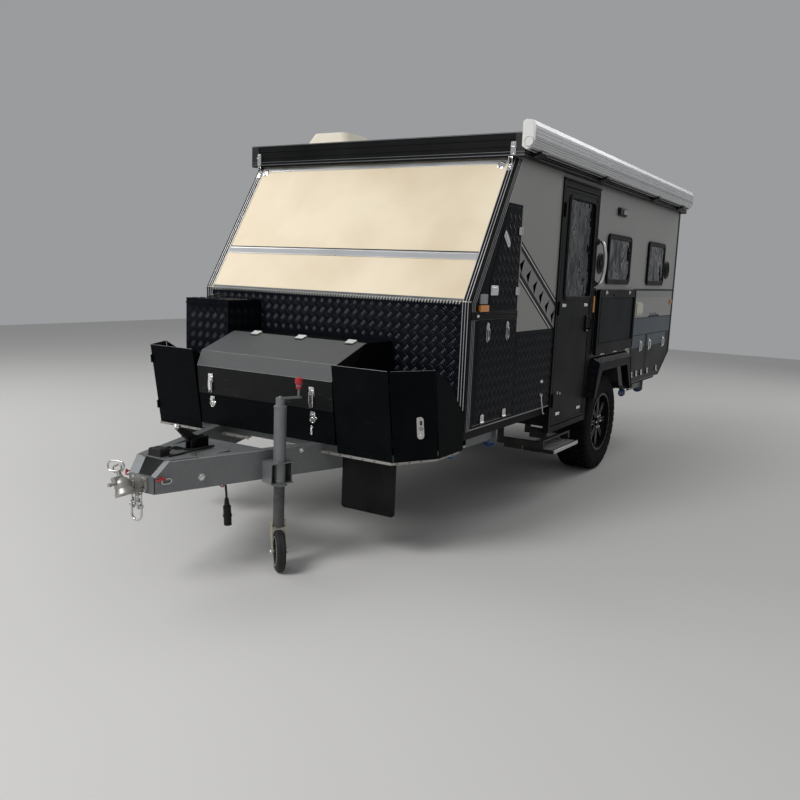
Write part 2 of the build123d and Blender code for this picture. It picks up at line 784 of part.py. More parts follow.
def bottom_hinges(hole_z, ys):
    """Barrels outside the wall, below a leaf, each with its strap up on the leaf."""
    z = hole_z
    hinges = []
    for y in ys:
        y0 = y - hinge_long / 2
        y1 = y + hinge_long / 2
        hinges.append(rod((hinge_x, y0, z), (hinge_x, y1, z), hinge_radius))
        hinges.append(slab(body_half + hinge_out - strap_bite, hinge_x, y0, y1,
                           z + strap_bite, z + strap_long))
    return hinges


def edge_hinges(hole_y, zs):
    """Barrels outside the wall, behind a leaf, each with its strap forward on the leaf."""
    y = hole_y
    hinges = []
    for z in zs:
        z0 = z - hinge_long / 2
        z1 = z + hinge_long / 2
        hinges.append(rod((hinge_x, y, z0), (hinge_x, y, z1), hinge_radius))
        hinges.append(slab(body_half + hinge_out - strap_bite, hinge_x, y - strap_long, y - strap_bite,
                           z0, z1))
    return hinges


def boot_door():
    ys = [boot_hole[0][0] + along for along in boot_hinge_ys]
    return joined([hatch_leaf(boot_hole)] + bottom_hinges(boot_hole[0][1], ys))


def upper_hatch():
    return joined([hatch_leaf(upper_hole)] + edge_hinges(upper_hole[3][0], (1445, 1796)))


def middle_hatch():
    ys = [middle_hole_ys[0] + along for along in middle_hinge_ys]
    return joined([hatch_leaf(middle_hole)] + bottom_hinges(hatch_zs[0], ys))


def rear_hatch():
    ys = [rear_hole_ys[0] + along for along in rear_hinge_ys]
    return joined([hatch_leaf(rear_hole)] + bottom_hinges(hatch_zs[0], ys))


def bed_base():
    top = slab(-inner_half, inner_half, bed_y, rear_y - wall, *bed_z)
    front = slab(-inner_half, inner_half, bed_y, bed_y + 20, floor_top_z, bed_z[0] + 1)
    return top + front


def mattress():
    y0 = bed_y + 4
    y1 = rear_y - wall - 4
    block = slab(-inner_half + 6, inner_half - 6, y0, y1, bed_z[1] + seat_gap, bed_z[1] + mattress_tall)
    return fillet(block.edges(), 18)


def galley():
    x0 = -inner_half
    box = slab(x0, x0 + galley_deep, *galley_y, floor_top_z, galley_z)
    room_ys = (galley_y[0] + joinery_board, galley_y[1] - joinery_board)
    room_z = (floor_top_z + joinery_board, galley_z - 30)
    room = slab(x0 + joinery_board, x0 + galley_deep + 1, *room_ys, *room_z)
    front = slab(x0 + galley_deep - joinery_board, x0 + galley_deep, galley_y[0] + 1, galley_y[1] - 1,
                 floor_top_z + 90, galley_z - 40)
    return box - room + front


# Roof that lifts, with its canvas skirt, vent and awning
def roof_trim():
    outer = slab(-roof_half, roof_half, *roof_y, roof_bottom_z, roof_top_z)
    return outer - inside_trim(roof_bottom_z - 1, roof_top_z + 1)


def inside_trim(z0, z1):
    half = roof_half - roof_band
    return slab(-half, half, roof_y[0] + roof_band, roof_y[1] - roof_band, z0, z1)


def roof_panel():
    return inside_trim(roof_sheet_z, roof_top_z - roof_lip)


def roof_vent():
    x, y = vent_middle
    base = Pos(x, y, roof_top_z - roof_lip) * Box(vent_side, vent_side, vent_base + roof_lip, align=low)
    foot_side, top_side = (vent_side - narrower for narrower in vent_taper)
    dome_foot = Plane(origin=(x, y, roof_top_z + vent_base)) * RectangleRounded(foot_side, foot_side, 45)
    dome_top = Plane(origin=(x, y, roof_top_z + vent_tall)) * RectangleRounded(top_side, top_side, 60)
    return base + loft([dome_foot.face(), dome_top.face()])


def awning():
    x0 = roof_half
    z0, z1 = awning_z
    outline = ((x0, z0 + 20), (x0, z1 - 12), (x0 + 22, z1), (awning_x1 - 20, z1 - 6), (awning_x1, z1 - 36),
               (awning_x1, z0 + 52), (awning_x1 - 16, z0 + 16), (x0 + 30, z0))
    return along_y(outline, *awning_y)


def canvas_skirt():
    half = inner_half - seat_gap
    y0 = slope_y(wall_top_z, wall) + seat_gap
    y1 = rear_y - wall - seat_gap
    outer = slab(-half, half, y0, y1, *canvas_z)
    inner = slab(-half + canvas_thick, half - canvas_thick, y0 + canvas_thick, y1 - canvas_thick,
                 canvas_z[0] - 1, canvas_z[1] + 1)
    return outer - inner


# Boxes, guards and flaps on the drawbar
def toolbox():
    outline = ((-1, toolbox_foot[1]), (-1, toolbox_hinge[1]), toolbox_hinge, toolbox_seam, toolbox_foot)
    shell = along_x(outline, -toolbox_half, toolbox_half)
    room = inset_along_x(outline, sheet, -toolbox_half + sheet, toolbox_half - sheet)
    mouth_top = toolbox_hinge[1] - sheet - 1
    mouth_foot = toolbox_seam[1] + sheet
    over = ((toolbox_hinge[0] + 2, mouth_top), (toolbox_hinge[0] - 200, mouth_top),
            (toolbox_seam[0] - 60, mouth_foot), (toolbox_seam[0] + 12, mouth_foot))
    return shell - room - along_x(over, -toolbox_half + sheet, toolbox_half - sheet)


def toolbox_lid():
    hinge = (toolbox_hinge[0] - 6, toolbox_hinge[1] + 1)
    seam = (toolbox_seam[0] - 3, toolbox_seam[1] + 2)
    outline = (hinge, toolbox_ridge, toolbox_knee, seam)
    shell = along_x(outline, -toolbox_half, toolbox_half)
    room = inset_along_x(outline, sheet, -toolbox_half + sheet, toolbox_half - sheet)
    slot = ((hinge[0] + 3, hinge[1] - 12), (hinge[0] - 16, hinge[1] - 8.5), (seam[0] - 1 + 4, seam[1] + 14),
            (seam[0] + 8, seam[1] - 2), (seam[0] + 60, seam[1] + 40))
    lid = shell - room - along_x(slot, -toolbox_half + sheet, toolbox_half - sheet)
    strap = ((toolbox_pin[0], toolbox_pin[1] - 4), (toolbox_pin[0], toolbox_pin[1] + 5),
             (hinge[0] - 37, hinge[1] - 9), (hinge[0] - 37, hinge[1] - 15), (hinge[0] - 2, hinge[1] - 2))
    for x in toolbox_hinge_xs:
        barrel = rod((x - hinge_long / 2, *toolbox_pin), (x + hinge_long / 2, *toolbox_pin), hinge_radius)
        lid = lid + barrel + along_x(strap, x - hinge_long / 2, x + hinge_long / 2)
    return lid


def gas_box():
    foot_z = floor_bottom_z + sheet
    shell = slab(*gas_x, *gas_y, foot_z, gas_z1 - gas_lid_deep - seat_gap)
    return other_side(shell - gas_room(foot_z + sheet, gas_z1))


def gas_room(z0, z1):
    return slab(gas_x[0] + sheet, gas_x[1] - sheet, gas_y[0] + sheet, gas_y[1] - sheet, z0, z1)


def gas_box_lid():
    z0 = gas_z1 - gas_lid_deep
    lid = slab(*gas_x, *gas_y, z0, gas_z1) - gas_room(z0 - 1, gas_z1 - sheet)
    pin_z = gas_z1 + gas_pin_radius
    for x in (gas_x[0] + gas_hinge_inset, gas_x[1] - gas_hinge_inset):
        x0 = x - hinge_long / 2
        x1 = x + hinge_long / 2
        lid = lid + rod((x0, gas_y[1], pin_z), (x1, gas_y[1], pin_z), gas_pin_radius)
        lid = lid + slab(x0, x1, gas_y[1] - strap_long, gas_y[1], gas_z1 - strap_bite, gas_z1 + sheet)
    return other_side(lid)


def guard_front_at(z):
    return guard_front_y + guard_lean * (guard_top_z - z) / (guard_top_z - guard_bottom_z)


def stone_guard():
    foot_y = guard_front_at(guard_bottom_z)
    front_outline = ((guard_front_y, guard_top_z), (guard_front_y + sheet, guard_top_z),
                     (foot_y + sheet, guard_bottom_z), (foot_y, guard_bottom_z))
    front = along_x(front_outline, guard_x[0], guard_x[1] - guard_edge)
    inner = along_x(((guard_front_y + 1, guard_top_z), (-8, guard_top_z - 280),
                     (-8, floor_bottom_z), (guard_front_at(floor_bottom_z) + 1, floor_bottom_z)),
                    guard_x[0], guard_x[0] + sheet)
    side_low = guard_side_y + guard_lean
    side = along_x(((guard_side_y + 6, guard_top_z), (-200, 960), (-40, 800), (-8, 790), (-8, guard_bottom_z),
                    (side_low + 6, guard_bottom_z)), body_half - sheet, body_half)
    floor_ys = ((guard_x[0], -529), (guard_x[1] - 13, -529), (body_half - 1, -256), (body_half - 1, -8),
                (guard_x[0], -8))
    shelf = along_z(floor_ys, floor_bottom_z, floor_bottom_z + sheet)
    return joined([front, inner, side, shelf])


guard_drop = math.hypot(guard_lean, guard_top_z - guard_bottom_z)
guard_pin_out = (hinge_radius + seat_gap) / guard_drop
guard_pin = (guard_x[1] - guard_edge, guard_front_y - guard_pin_out * (guard_top_z - guard_bottom_z),
             guard_top_z - guard_pin_out * guard_lean)


def guard_door():
    """Slanted locker door between the guard's front and side, a leaning parallelogram."""
    lean = Vector(0, guard_lean, guard_bottom_z - guard_top_z)
    top_in = Vector(guard_x[1], guard_front_y, guard_top_z)
    top_out = Vector(body_half, guard_side_y, guard_top_z)
    across = top_out - top_in
    start = top_in + across.normalized() * leaf_gap
    end = top_out - across.normalized() * leaf_gap
    corners = [start, end, end + lean, start + lean]
    face = make_face(Polyline(*[c.to_tuple() for c in corners], close=True))
    outward = across.cross(lean).normalized() * -1
    plate = extrude(face, amount=sheet, dir=(outward * -1).to_tuple())
    foot = Vector(*guard_pin) + lean.normalized() * 60
    for drop in (0, 285):
        low_end = foot + lean.normalized() * (drop + hinge_long)
        plate = plate + rod((foot + lean.normalized() * drop).to_tuple(), low_end.to_tuple(), hinge_radius)
        frame = Plane(origin=foot + lean.normalized() * drop, x_dir=across.normalized(), z_dir=outward)
        strap = Box(strap_long, hinge_long, hinge_radius, align=(Align.MIN, Align.MAX, Align.MIN))
        plate = plate + frame * strap
    return plate


def mud_flap():
    bar_rear = guard_bar_ys[0] + cross_deep
    flap = slab(*flap_x, bar_rear, bar_rear + flap_thick, flap_z, rail_top_z - 4)
    return fillet(flap.edges().filter_by(Axis.Y).group_by(Axis.Z)[0], flap_corner)


# Road wheels, arms and springs
def wheel_side(shape):
    """Turns a shape drawn about Z, outer side up, to the left wheel's place."""
    middle_x = tyre_outer_x - tyre_width / 2
    return Pos(middle_x, axle_y, tyre_radius) * Rot(0, 90, 0) * shape


def turned(outline):
    face = make_face(Polyline(*[(r, 0, z) for r, z in outline], close=True))
    return revolve(face, axis=Axis.Z)


def tyre():
    half = tyre_width / 2
    outline = ((bead_radius, -half + 22), (bead_radius + 24, -half + 8), (300, -half), (352, -half + 4),
               (376, -half + 16), (tyre_radius, -half + 34), (tyre_radius, half - 34), (376, half - 16),
               (352, half - 4), (300, half), (bead_radius + 24, half - 8), (bead_radius, half - 22),
               (bead_radius, half - 36), (bead_radius + 20, half - 26), (300, half - 14), (350, half - 20),
               (370, half - 44), (370, -half + 44), (350, -half + 20), (300, -half + 14),
               (bead_radius + 20, -half + 26), (bead_radius, -half + 36))
    return wheel_side(turned(outline))


def rim():
    barrel = turned(((bead_radius - seat_gap, -118), (bead_radius - seat_gap, -88), (206, -60), (206, 30),
                     (bead_radius - seat_gap, 88), (bead_radius - seat_gap, 112), (236, 118), (236, 124),
                     (216, 124), (213, 92), (198, 34), (198, -56), (214, -88), (214, -118)))
    hub = Pos(0, 0, 50) * Cylinder(66, 40, align=low)
    cap = Pos(0, 0, 88) * Cylinder(34, 16, align=low)
    shape = barrel + hub + cap
    for turn in range(spokes):
        spoke = along_z(((50, -20), (50, 20), (214, 12), (214, -12)), 68, 96)
        slot = along_z(((104, -4), (104, 4), (186, 3), (186, -3)), 60, 100)
        shape = shape + Rot(0, 0, turn * 360 / spokes) * (spoke - slot)
    drum = Pos(0, 0, -70) * Cylinder(128, 62, align=low)
    neck = Pos(0, 0, -10) * Cylinder(62, 62, align=low)
    shape = shape + drum + neck
    bore = Pos(0, 0, -71) * Cylinder(stub_radius + pin_gap, 130, align=low)
    return wheel_side(shape - bore)


def trailing_arm():
    arm = along_x(((arm_pivot_y - 30, arm_pivot_z + 28), (arm_pivot_y - 30, arm_pivot_z - 28),
                   (axle_y - 60, tyre_radius - 42), (axle_y + 50, tyre_radius - 36),
                   (axle_y + 50, tyre_radius + 34), (axle_y - 60, tyre_radius + 36)), arm_x0, arm_x1)
    pivot = rod((arm_x0 - pivot_boss, arm_pivot_y, arm_pivot_z), (arm_x0 + 4, arm_pivot_y, arm_pivot_z), 22)
    stub_x = tyre_outer_x - tyre_width / 2 + 50
    stub = rod((arm_x1 - 2, axle_y, tyre_radius), (stub_x, axle_y, tyre_radius), stub_radius)
    return joined([arm, pivot, stub])


def spring():
    x = (arm_x0 + arm_x1) / 2
    foot_z = tyre_radius + 38
    top_z = rail_top_z - spring_seat_thick
    shape = rod((x, spring_y, foot_z - 2), (x, spring_y, top_z), 16)
    for turn in range(spring_turns):
        z = foot_z + 8 + turn * (top_z - foot_z - 16) / (spring_turns - 1)
        shape = shape + Pos(x, spring_y, z) * (Cylinder(36, 9) - Cylinder(24, 9))
        shape = shape + Pos(x, spring_y, z) * Cylinder(26, 4)
    return shape


def suspension():
    side = joined([trailing_arm(), spring()])
    return side, other_side(side)


# Jockey wheel: clamp and outer tube, screwed leg, castor fork, wheel
def jockey_outer():
    tube = rod((0, 0, jockey_tube_bottom_z - jockey_pivot_z), (0, 0, jockey_tube_top_z - jockey_pivot_z),
               jockey_tube_radius)
    foot_z = jockey_tube_bottom_z - jockey_pivot_z
    top_z = jockey_tube_top_z - jockey_pivot_z
    collar_top_z = rail_bottom_z - jockey_bracket_drop - seat_gap - jockey_pivot_z
    collar = rod((0, 0, foot_z - 6), (0, 0, collar_top_z), jockey_collar_radius)
    crank_z0, crank_z1 = (z - jockey_pivot_z for z in jockey_crank_z)
    knob_z0, knob_z1 = (z - jockey_pivot_z for z in jockey_knob_z)
    knob_y = jockey_crank_long - 12
    head = rod((0, 0, top_z - 1), (0, 0, crank_z1), jockey_head_radius)
    crank = slab(-jockey_crank_wide / 2, jockey_crank_wide / 2, -12, jockey_crank_long, crank_z0, crank_z1)
    stem = rod((0, knob_y, crank_z0 + 1), (0, knob_y, knob_z0 + 1), 6)
    knob = Pos(0, knob_y, knob_z0) * Cone(*jockey_knob_radii, knob_z1 - knob_z0, align=low)
    body = joined([tube, collar, head, crank, stem, fillet(knob.edges(), 5)])
    bore = rod((0, 0, foot_z - 7), (0, 0, top_z - 12), jockey_tube_radius - jockey_tube_wall)
    return beside_rail(body - bore)


def jockey_inner():
    leg = rod((jockey_x, jockey_y, jockey_leg_bottom_z), (jockey_x, jockey_y, jockey_leg_top_z),
              jockey_tube_radius - jockey_tube_wall - pin_gap)
    bore = rod((jockey_x, jockey_y, jockey_leg_bottom_z - 1), (jockey_x, jockey_y, jockey_leg_bottom_z + 40),
               jockey_spigot_radius + pin_gap)
    return leg - bore


def as_parked(shape):
    """Turns the castor, drawn trailing towards +Y, to the way it was parked."""
    return Pos(jockey_x, jockey_y, 0) * Rot(0, 0, castor_turn) * shape


def fork_cheek(x):
    axle_z = jockey_wheel_radius
    top_z = jockey_leg_bottom_z + 28
    rear = ThreePointArc((x, -30, top_z), (x, -12, 160), (x, jockey_trail - 15, axle_z - 9))
    foot = ThreePointArc((x, jockey_trail - 15, axle_z - 9), (x, jockey_trail + 5, axle_z - 16),
                         (x, jockey_trail + 16, axle_z + 5))
    front = ThreePointArc((x, jockey_trail + 16, axle_z + 5), (x, 26, 180), (x, 0, top_z))
    top = Line((x, 0, top_z), (x, -30, top_z))
    face = make_face([*rear.edges(), *foot.edges(), *front.edges(), *top.edges()])
    return extrude(face, amount=jockey_cheek, dir=(1, 0, 0))


def jockey_fork():
    half = jockey_wheel_wide / 2 + 6
    outer = half + jockey_cheek
    crown_z = jockey_leg_bottom_z
    spigot = rod((0, 0, crown_z - 10), (0, 0, crown_z + 36), jockey_spigot_radius)
    crown = slab(-outer, outer, -26, 20, crown_z - 8, crown_z - seat_gap)
    half_axle = rod((0, jockey_trail, jockey_wheel_radius), (outer + 5, jockey_trail, jockey_wheel_radius), 8)
    axle = half_axle + other_side(half_axle)
    return as_parked(joined([spigot, crown, axle, fork_cheek(-outer), fork_cheek(half)]))


def jockey_wheel():
    wide = jockey_wheel_wide
    side = ((8 + pin_gap, 0), (24, 0), (24, 22), (60, 22), (62, 4), (78, 2), (96, 4), (103, 10),
            (jockey_wheel_radius, 18))
    outline = side + tuple((radius, wide - across) for radius, across in side[::-1])
    wheel = Pos(-wide / 2, jockey_trail, jockey_wheel_radius) * Rot(0, 90, 0) * turned(outline)
    return as_parked(wheel)


# Steadies, step, table, tanks, handles and lamps
def steady(y):
    pin_y = y + steady_reach
    z0 = steady_pin_z - 26
    z1 = steady_pin_z + 24
    x0, x1 = steady_arm_x
    arm = slab(x0, x1, pin_y - 20, pin_y + steady_length, z0, z1)
    arm = arm - slab(x0 + 4, x1 - 4, pin_y - 21, pin_y + steady_length - 6, z0 - 1, z1 - 4)
    foot = slab(x0 - 22, x1 + 22, pin_y + steady_length - 1, pin_y + steady_length + 6, z0 - 28, z1 + 6)
    pin = rod((steady_x[0], pin_y, steady_pin_z), (steady_x[1], pin_y, steady_pin_z), steady_pin_radius)
    return joined([arm, foot, pin])


def entry_step():
    y0 = step_runner_ys[0][1] + seat_gap
    y1 = step_runner_ys[1][0] - seat_gap
    tread = slab(*step_x, y0, y1, *step_tread_z)
    for groove in range(step_grooves):
        x = step_x[0] + 24 + groove * 32
        tread = tread - slab(x, x + 10, y0 - 1, y1 + 1, step_tread_z[1] - 5, step_tread_z[1] + 1)
    arms = []
    arm_z = (step_tread_z[0], step_runner_z[1] - 18)
    for y in (y0, y1 - step_arm_thick):
        arms.append(slab(well_x - 20, step_x[0] + step_arm_long, y, y + step_arm_thick, *arm_z))
    return joined([tread] + arms)


def picnic_table():
    x0 = body_half + seat_gap
    panel = round_plate(x0, x0 + table_deep, table_y, table_z, 24)
    ys = (table_y[0] + table_rim, table_y[1] - table_rim * 0.6)
    zs = (table_z[0] + table_rim + 20, table_z[1] - table_rim)
    return panel - round_plate(x0 + table_deep - 10, x0 + table_deep + 1, ys, zs, 12)


def water_tank(ys):
    tank = slab(-tank_half, tank_half, *ys, *tank_z)
    return tank + slab(-tank_half, tank_half, ys[0] + 40, ys[0] + 80, tank_z[1] - 1, floor_bottom_z)


def grab_handle():
    points = [(body_half, handle_y, handle_zs[0]), (body_half + handle_out, handle_y, handle_zs[0]),
              (body_half + handle_out, handle_y, handle_zs[1]), (body_half, handle_y, handle_zs[1])]
    return bent_rod(points, 40, 11)


def side_lamps():
    lamps = []
    rear_spot = (rear_y - rear_lamp_inset[0], rear_y - rear_lamp_inset[1], *rear_lamp_zs)
    for y0, y1, z0, z1 in (*side_lamp_spots, rear_spot):
        lamps.append(round_plate(body_half, body_half + 14, (y0, y1), (z0, z1), 6))
    return lamps + [other_side(lamp) for lamp in lamps]


def tail_lamps():
    lamp_x = (body_half - tail_lamp_inset[0], body_half - tail_lamp_inset[1])
    lamp = slab(*lamp_x, rear_y, rear_y + tail_lamp_out, *tail_lamp_zs)
    lamp = fillet(lamp.edges().filter_by(Axis.Y), 20)
    return [lamp, other_side(lamp)]


save("chassis_frame", joined([chassis_frame(), lead_gland()]))
save("coupling", coupling(), handbrake())
save("coupling_head", coupling_head())
first_link, second_link, pin_z = safety_chain()
links = [first_link, second_link]
save("safety_chains", *links, *[other_side(link) for link in links], shackle(pin_z))
save("plug_cord", plug_cord())
save("trailer_plug", trailer_plug())
save("toolbox", toolbox())
save("toolbox_lid", toolbox_lid())
save("gas_box", gas_box())
save("gas_box_lid", gas_box_lid())
save_pair("stone_guard", stone_guard())
save_pair("guard_door", guard_door())
save("mud_flaps", mud_flap(), other_side(mud_flap()))
save("floor", floor())
save("front_wall", front_wall())
save("front_slope", front_slope())
save("left_wall", side_wall((boot_hole, upper_hole, middle_hole, rear_hole), True))
save("right_wall", other_side(side_wall((boot_hole, upper_hole, rear_hole), False)))
save("rear_wall", rear_wall())
save("partition", partition())
save("wheel_arches", wheel_arch(), other_side(wheel_arch()))
save("door_frame", door_frame())
save("door_leaf", door_leaf())
save("door_glass", door_glass())
side_frames = [window_frame(ys) for ys in window_ys]
side_panes = [window_pane(ys) for ys in window_ys]
rear_ys = (-rear_window_half, rear_window_half)
right_frames = [other_side(frame) for frame in side_frames]
right_panes = [other_side(pane) for pane in side_panes]
save("window_frames", *side_frames, *right_frames, rear_window(window_frame(rear_ys)))
save("window_panes", *side_panes, *right_panes, rear_window(window_pane(rear_ys)))
save_pair("boot_door", boot_door())
save_pair("upper_hatch", upper_hatch())
save("middle_hatch", middle_hatch())
save_pair("rear_hatch", rear_hatch())
save("furniture", bed_base(), galley())
save("mattress", mattress())
save("roof_trim", roof_trim())
save("roof_panel", roof_panel())
save("roof_vent", roof_vent())
save("awning", awning())
save("canvas_skirt", canvas_skirt())
save_pair("tyre", tyre())
save_pair("rim", rim())
save("suspension", *suspension())
save("jockey_outer", jockey_outer())
save("jockey_inner", jockey_inner())
save("jockey_fork", jockey_fork())
save("jockey_wheel", jockey_wheel())
for place, y in zip(("front", "rear"), steady_ys):
    save_pair(f"steady_{place}", steady(y))
save("entry_step", entry_step())
save("picnic_table", picnic_table())
save("water_tanks", *[water_tank(ys) for ys in tank_ys])
save("grab_handle", grab_handle())
save("lamps", *side_lamps(), *tail_lamps())
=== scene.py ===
import bpy, bmesh, math, random
from mathutils import Matrix, Vector


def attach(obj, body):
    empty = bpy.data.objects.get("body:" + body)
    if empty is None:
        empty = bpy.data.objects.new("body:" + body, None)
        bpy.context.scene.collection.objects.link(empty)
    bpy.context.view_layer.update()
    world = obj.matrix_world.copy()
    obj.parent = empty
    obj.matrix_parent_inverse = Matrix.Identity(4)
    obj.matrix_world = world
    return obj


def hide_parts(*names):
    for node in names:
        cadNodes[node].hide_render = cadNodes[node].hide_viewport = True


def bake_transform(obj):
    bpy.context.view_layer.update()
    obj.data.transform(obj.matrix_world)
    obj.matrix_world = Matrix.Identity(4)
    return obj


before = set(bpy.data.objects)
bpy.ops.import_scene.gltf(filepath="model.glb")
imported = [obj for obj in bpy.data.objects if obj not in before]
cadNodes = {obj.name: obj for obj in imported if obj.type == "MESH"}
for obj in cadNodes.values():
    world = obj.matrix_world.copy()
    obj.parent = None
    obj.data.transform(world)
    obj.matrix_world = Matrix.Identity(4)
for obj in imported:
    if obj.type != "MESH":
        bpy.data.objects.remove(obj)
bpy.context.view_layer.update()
frontWall = -1.470  # y of the lower front wall; lengths along the body are counted from it
sides = {"left": 1, "right": -1}
print("frame loaded", len(cadNodes), "nodes")


def at(x, y, z):
    return Vector((x, y + frontWall, z))


# camera at the photograph's standpoint
photoCamera = {"x": 2.952, "y": -3.968, "z": 1.534, "yaw": 31.202, "pitch": -8.939, "roll": 2.333, "lens": 36.79}


def placeCamera(view):
    yaw, pitch, roll = (math.radians(view[key]) for key in ("yaw", "pitch", "roll"))
    ahead = Vector((-math.sin(yaw) * math.cos(pitch), math.cos(yaw) * math.cos(pitch), math.sin(pitch)))
    level = Vector((math.cos(yaw), math.sin(yaw), 0))
    upright = level.cross(ahead)
    right = level * math.cos(roll) + upright * math.sin(roll)
    up = upright * math.cos(roll) - level * math.sin(roll)
    lensData = bpy.data.cameras.new("photoCamera")
    lensData.lens = view["lens"]
    lensData.sensor_width = 36
    lensData.clip_end = 200
    camera = bpy.data.objects.new("photoCamera", lensData)
    bpy.context.scene.collection.objects.link(camera)
    turn = Matrix((right, up, -ahead)).transposed().to_4x4()
    camera.matrix_world = Matrix.Translation(at(view["x"], view["y"], view["z"])) @ turn
    bpy.context.scene.camera = camera


placeCamera(photoCamera)


# nodes: inputs pair a socket with a value or with another node's output
def addNode(tree, kind, inputs=(), **values):
    node = tree.nodes.new(kind)
    for key, value in values.items():
        setattr(node, key, value)
    for key, value in dict(inputs).items():
        if isinstance(value, bpy.types.NodeSocket):
            tree.links.new(value, node.inputs[key])
        else:
            node.inputs[key].default_value = value
    return node


def mapRange(tree, source, fromMin, fromMax, toMin=0.0, toMax=1.0):
    labels = ("Value", "From Min", "From Max", "To Min", "To Max")
    return addNode(tree, "ShaderNodeMapRange", zip(labels, (source, fromMin, fromMax, toMin, toMax))).outputs["Result"]


def mathNode(tree, operation, first, second):
    return addNode(tree, "ShaderNodeMath", enumerate((first, second)), operation=operation).outputs[0]


def mixColor(tree, factor, first, second):
    colors = [(*value, 1) if isinstance(value, tuple) else value for value in (first, second)]
    return addNode(tree, "ShaderNodeMix", zip((0, 6, 7), (factor, *colors)), data_type="RGBA").outputs[2]


def placeGroup(tree, group, vector, **values):
    return addNode(tree, "ShaderNodeGroup", {"Vector": vector, **values}, node_tree=group)


# node groups shared by the finishes: each takes a vector and numbers, and gives numbers
def newGroup(name, numbers, outputs=("Mask",)):
    tree = bpy.data.node_groups.new(name, "ShaderNodeTree")
    tree.interface.new_socket(name="Vector", in_out="INPUT", socket_type="NodeSocketVector")
    for label, value in numbers.items():
        tree.interface.new_socket(name=label, in_out="INPUT", socket_type="NodeSocketFloat").default_value = value
    for label in outputs:
        tree.interface.new_socket(name=label, in_out="OUTPUT", socket_type="NodeSocketFloat")
    return tree, tree.nodes.new("NodeGroupInput").outputs, tree.nodes.new("NodeGroupOutput").inputs


def buildPatchyTone():
    tree, ins, outs = newGroup("patchyTone", {"Scale": 3.0, "Contrast": 0.2})
    noise = addNode(tree, "ShaderNodeTexNoise", {"Vector": ins["Vector"], "Scale": ins["Scale"], "Detail": 5})
    low, high = (mathNode(tree, operation, 0.5, ins["Contrast"]) for operation in ("SUBTRACT", "ADD"))
    tree.links.new(mapRange(tree, noise.outputs["Fac"], low, high), outs["Mask"])
    return tree


def buildDustLayer():
    tree, ins, outs = newGroup("dustLayer", {"Amount": 0.3, "Top": 1.2})
    split = addNode(tree, "ShaderNodeSeparateXYZ", {0: ins["Vector"]})
    low = mapRange(tree, split.outputs["Z"], 0.1, ins["Top"], 1.0, 0.25)
    noise = addNode(tree, "ShaderNodeTexNoise", {"Vector": ins["Vector"], "Scale": 9, "Detail": 8})
    both = mathNode(tree, "MULTIPLY", low, mapRange(tree, noise.outputs["Fac"], 0.35, 0.75))
    tree.links.new(mathNode(tree, "MULTIPLY", both, ins["Amount"]), outs["Mask"])
    return tree


def buildFineGrain():
    tree, ins, outs = newGroup("fineGrain", {"Scale": 300.0}, ("Height",))
    noise = addNode(tree, "ShaderNodeTexNoise", {"Vector": ins["Vector"], "Scale": ins["Scale"], "Detail": 3})
    tree.links.new(noise.outputs["Fac"], outs["Height"])
    return tree


def buildSpangle():
    tree, ins, outs = newGroup("spangle", {"Scale": 60.0})
    cells = addNode(tree, "ShaderNodeTexVoronoi", {"Vector": ins["Vector"], "Scale": ins["Scale"]})
    tone = addNode(tree, "ShaderNodeSeparateColor", {0: cells.outputs["Color"]})
    tree.links.new(tone.outputs[0], outs["Mask"])
    return tree


def buildScratches():
    tree, ins, outs = newGroup("scratches", {"Amount": 0.5})
    turned = addNode(tree, "ShaderNodeMapping",
                     {"Vector": ins["Vector"], "Rotation": (0.4, 0.7, 0.3), "Scale": (1.5, 14.0, 14.0)})
    noise = addNode(tree, "ShaderNodeTexNoise", {"Vector": turned.outputs[0], "Scale": 6, "Detail": 6})
    thin = mapRange(tree, noise.outputs["Fac"], 0.66, 0.70)
    tree.links.new(mathNode(tree, "MULTIPLY", thin, ins["Amount"]), outs["Mask"])
    return tree


def buildWeave():
    tree, ins, outs = newGroup("weave", {"Scale": 400.0})
    threads = [addNode(tree, "ShaderNodeTexWave", {"Vector": ins["Vector"], "Scale": ins["Scale"], "Distortion": 0.6},
                       bands_direction=direction).outputs["Fac"] for direction in ("X", "Z")]
    tree.links.new(mathNode(tree, "MAXIMUM", *threads), outs["Mask"])
    return tree


toneGroup, dustGroup, grainGroup = buildPatchyTone(), buildDustLayer(), buildFineGrain()
spangleGroup, scratchGroup, weaveGroup = buildSpangle(), buildScratches(), buildWeave()
dustColor = (0.30, 0.27, 0.23)
grainDefaults = (0.1, 300.0, 0.001)  # strength, scale, depth


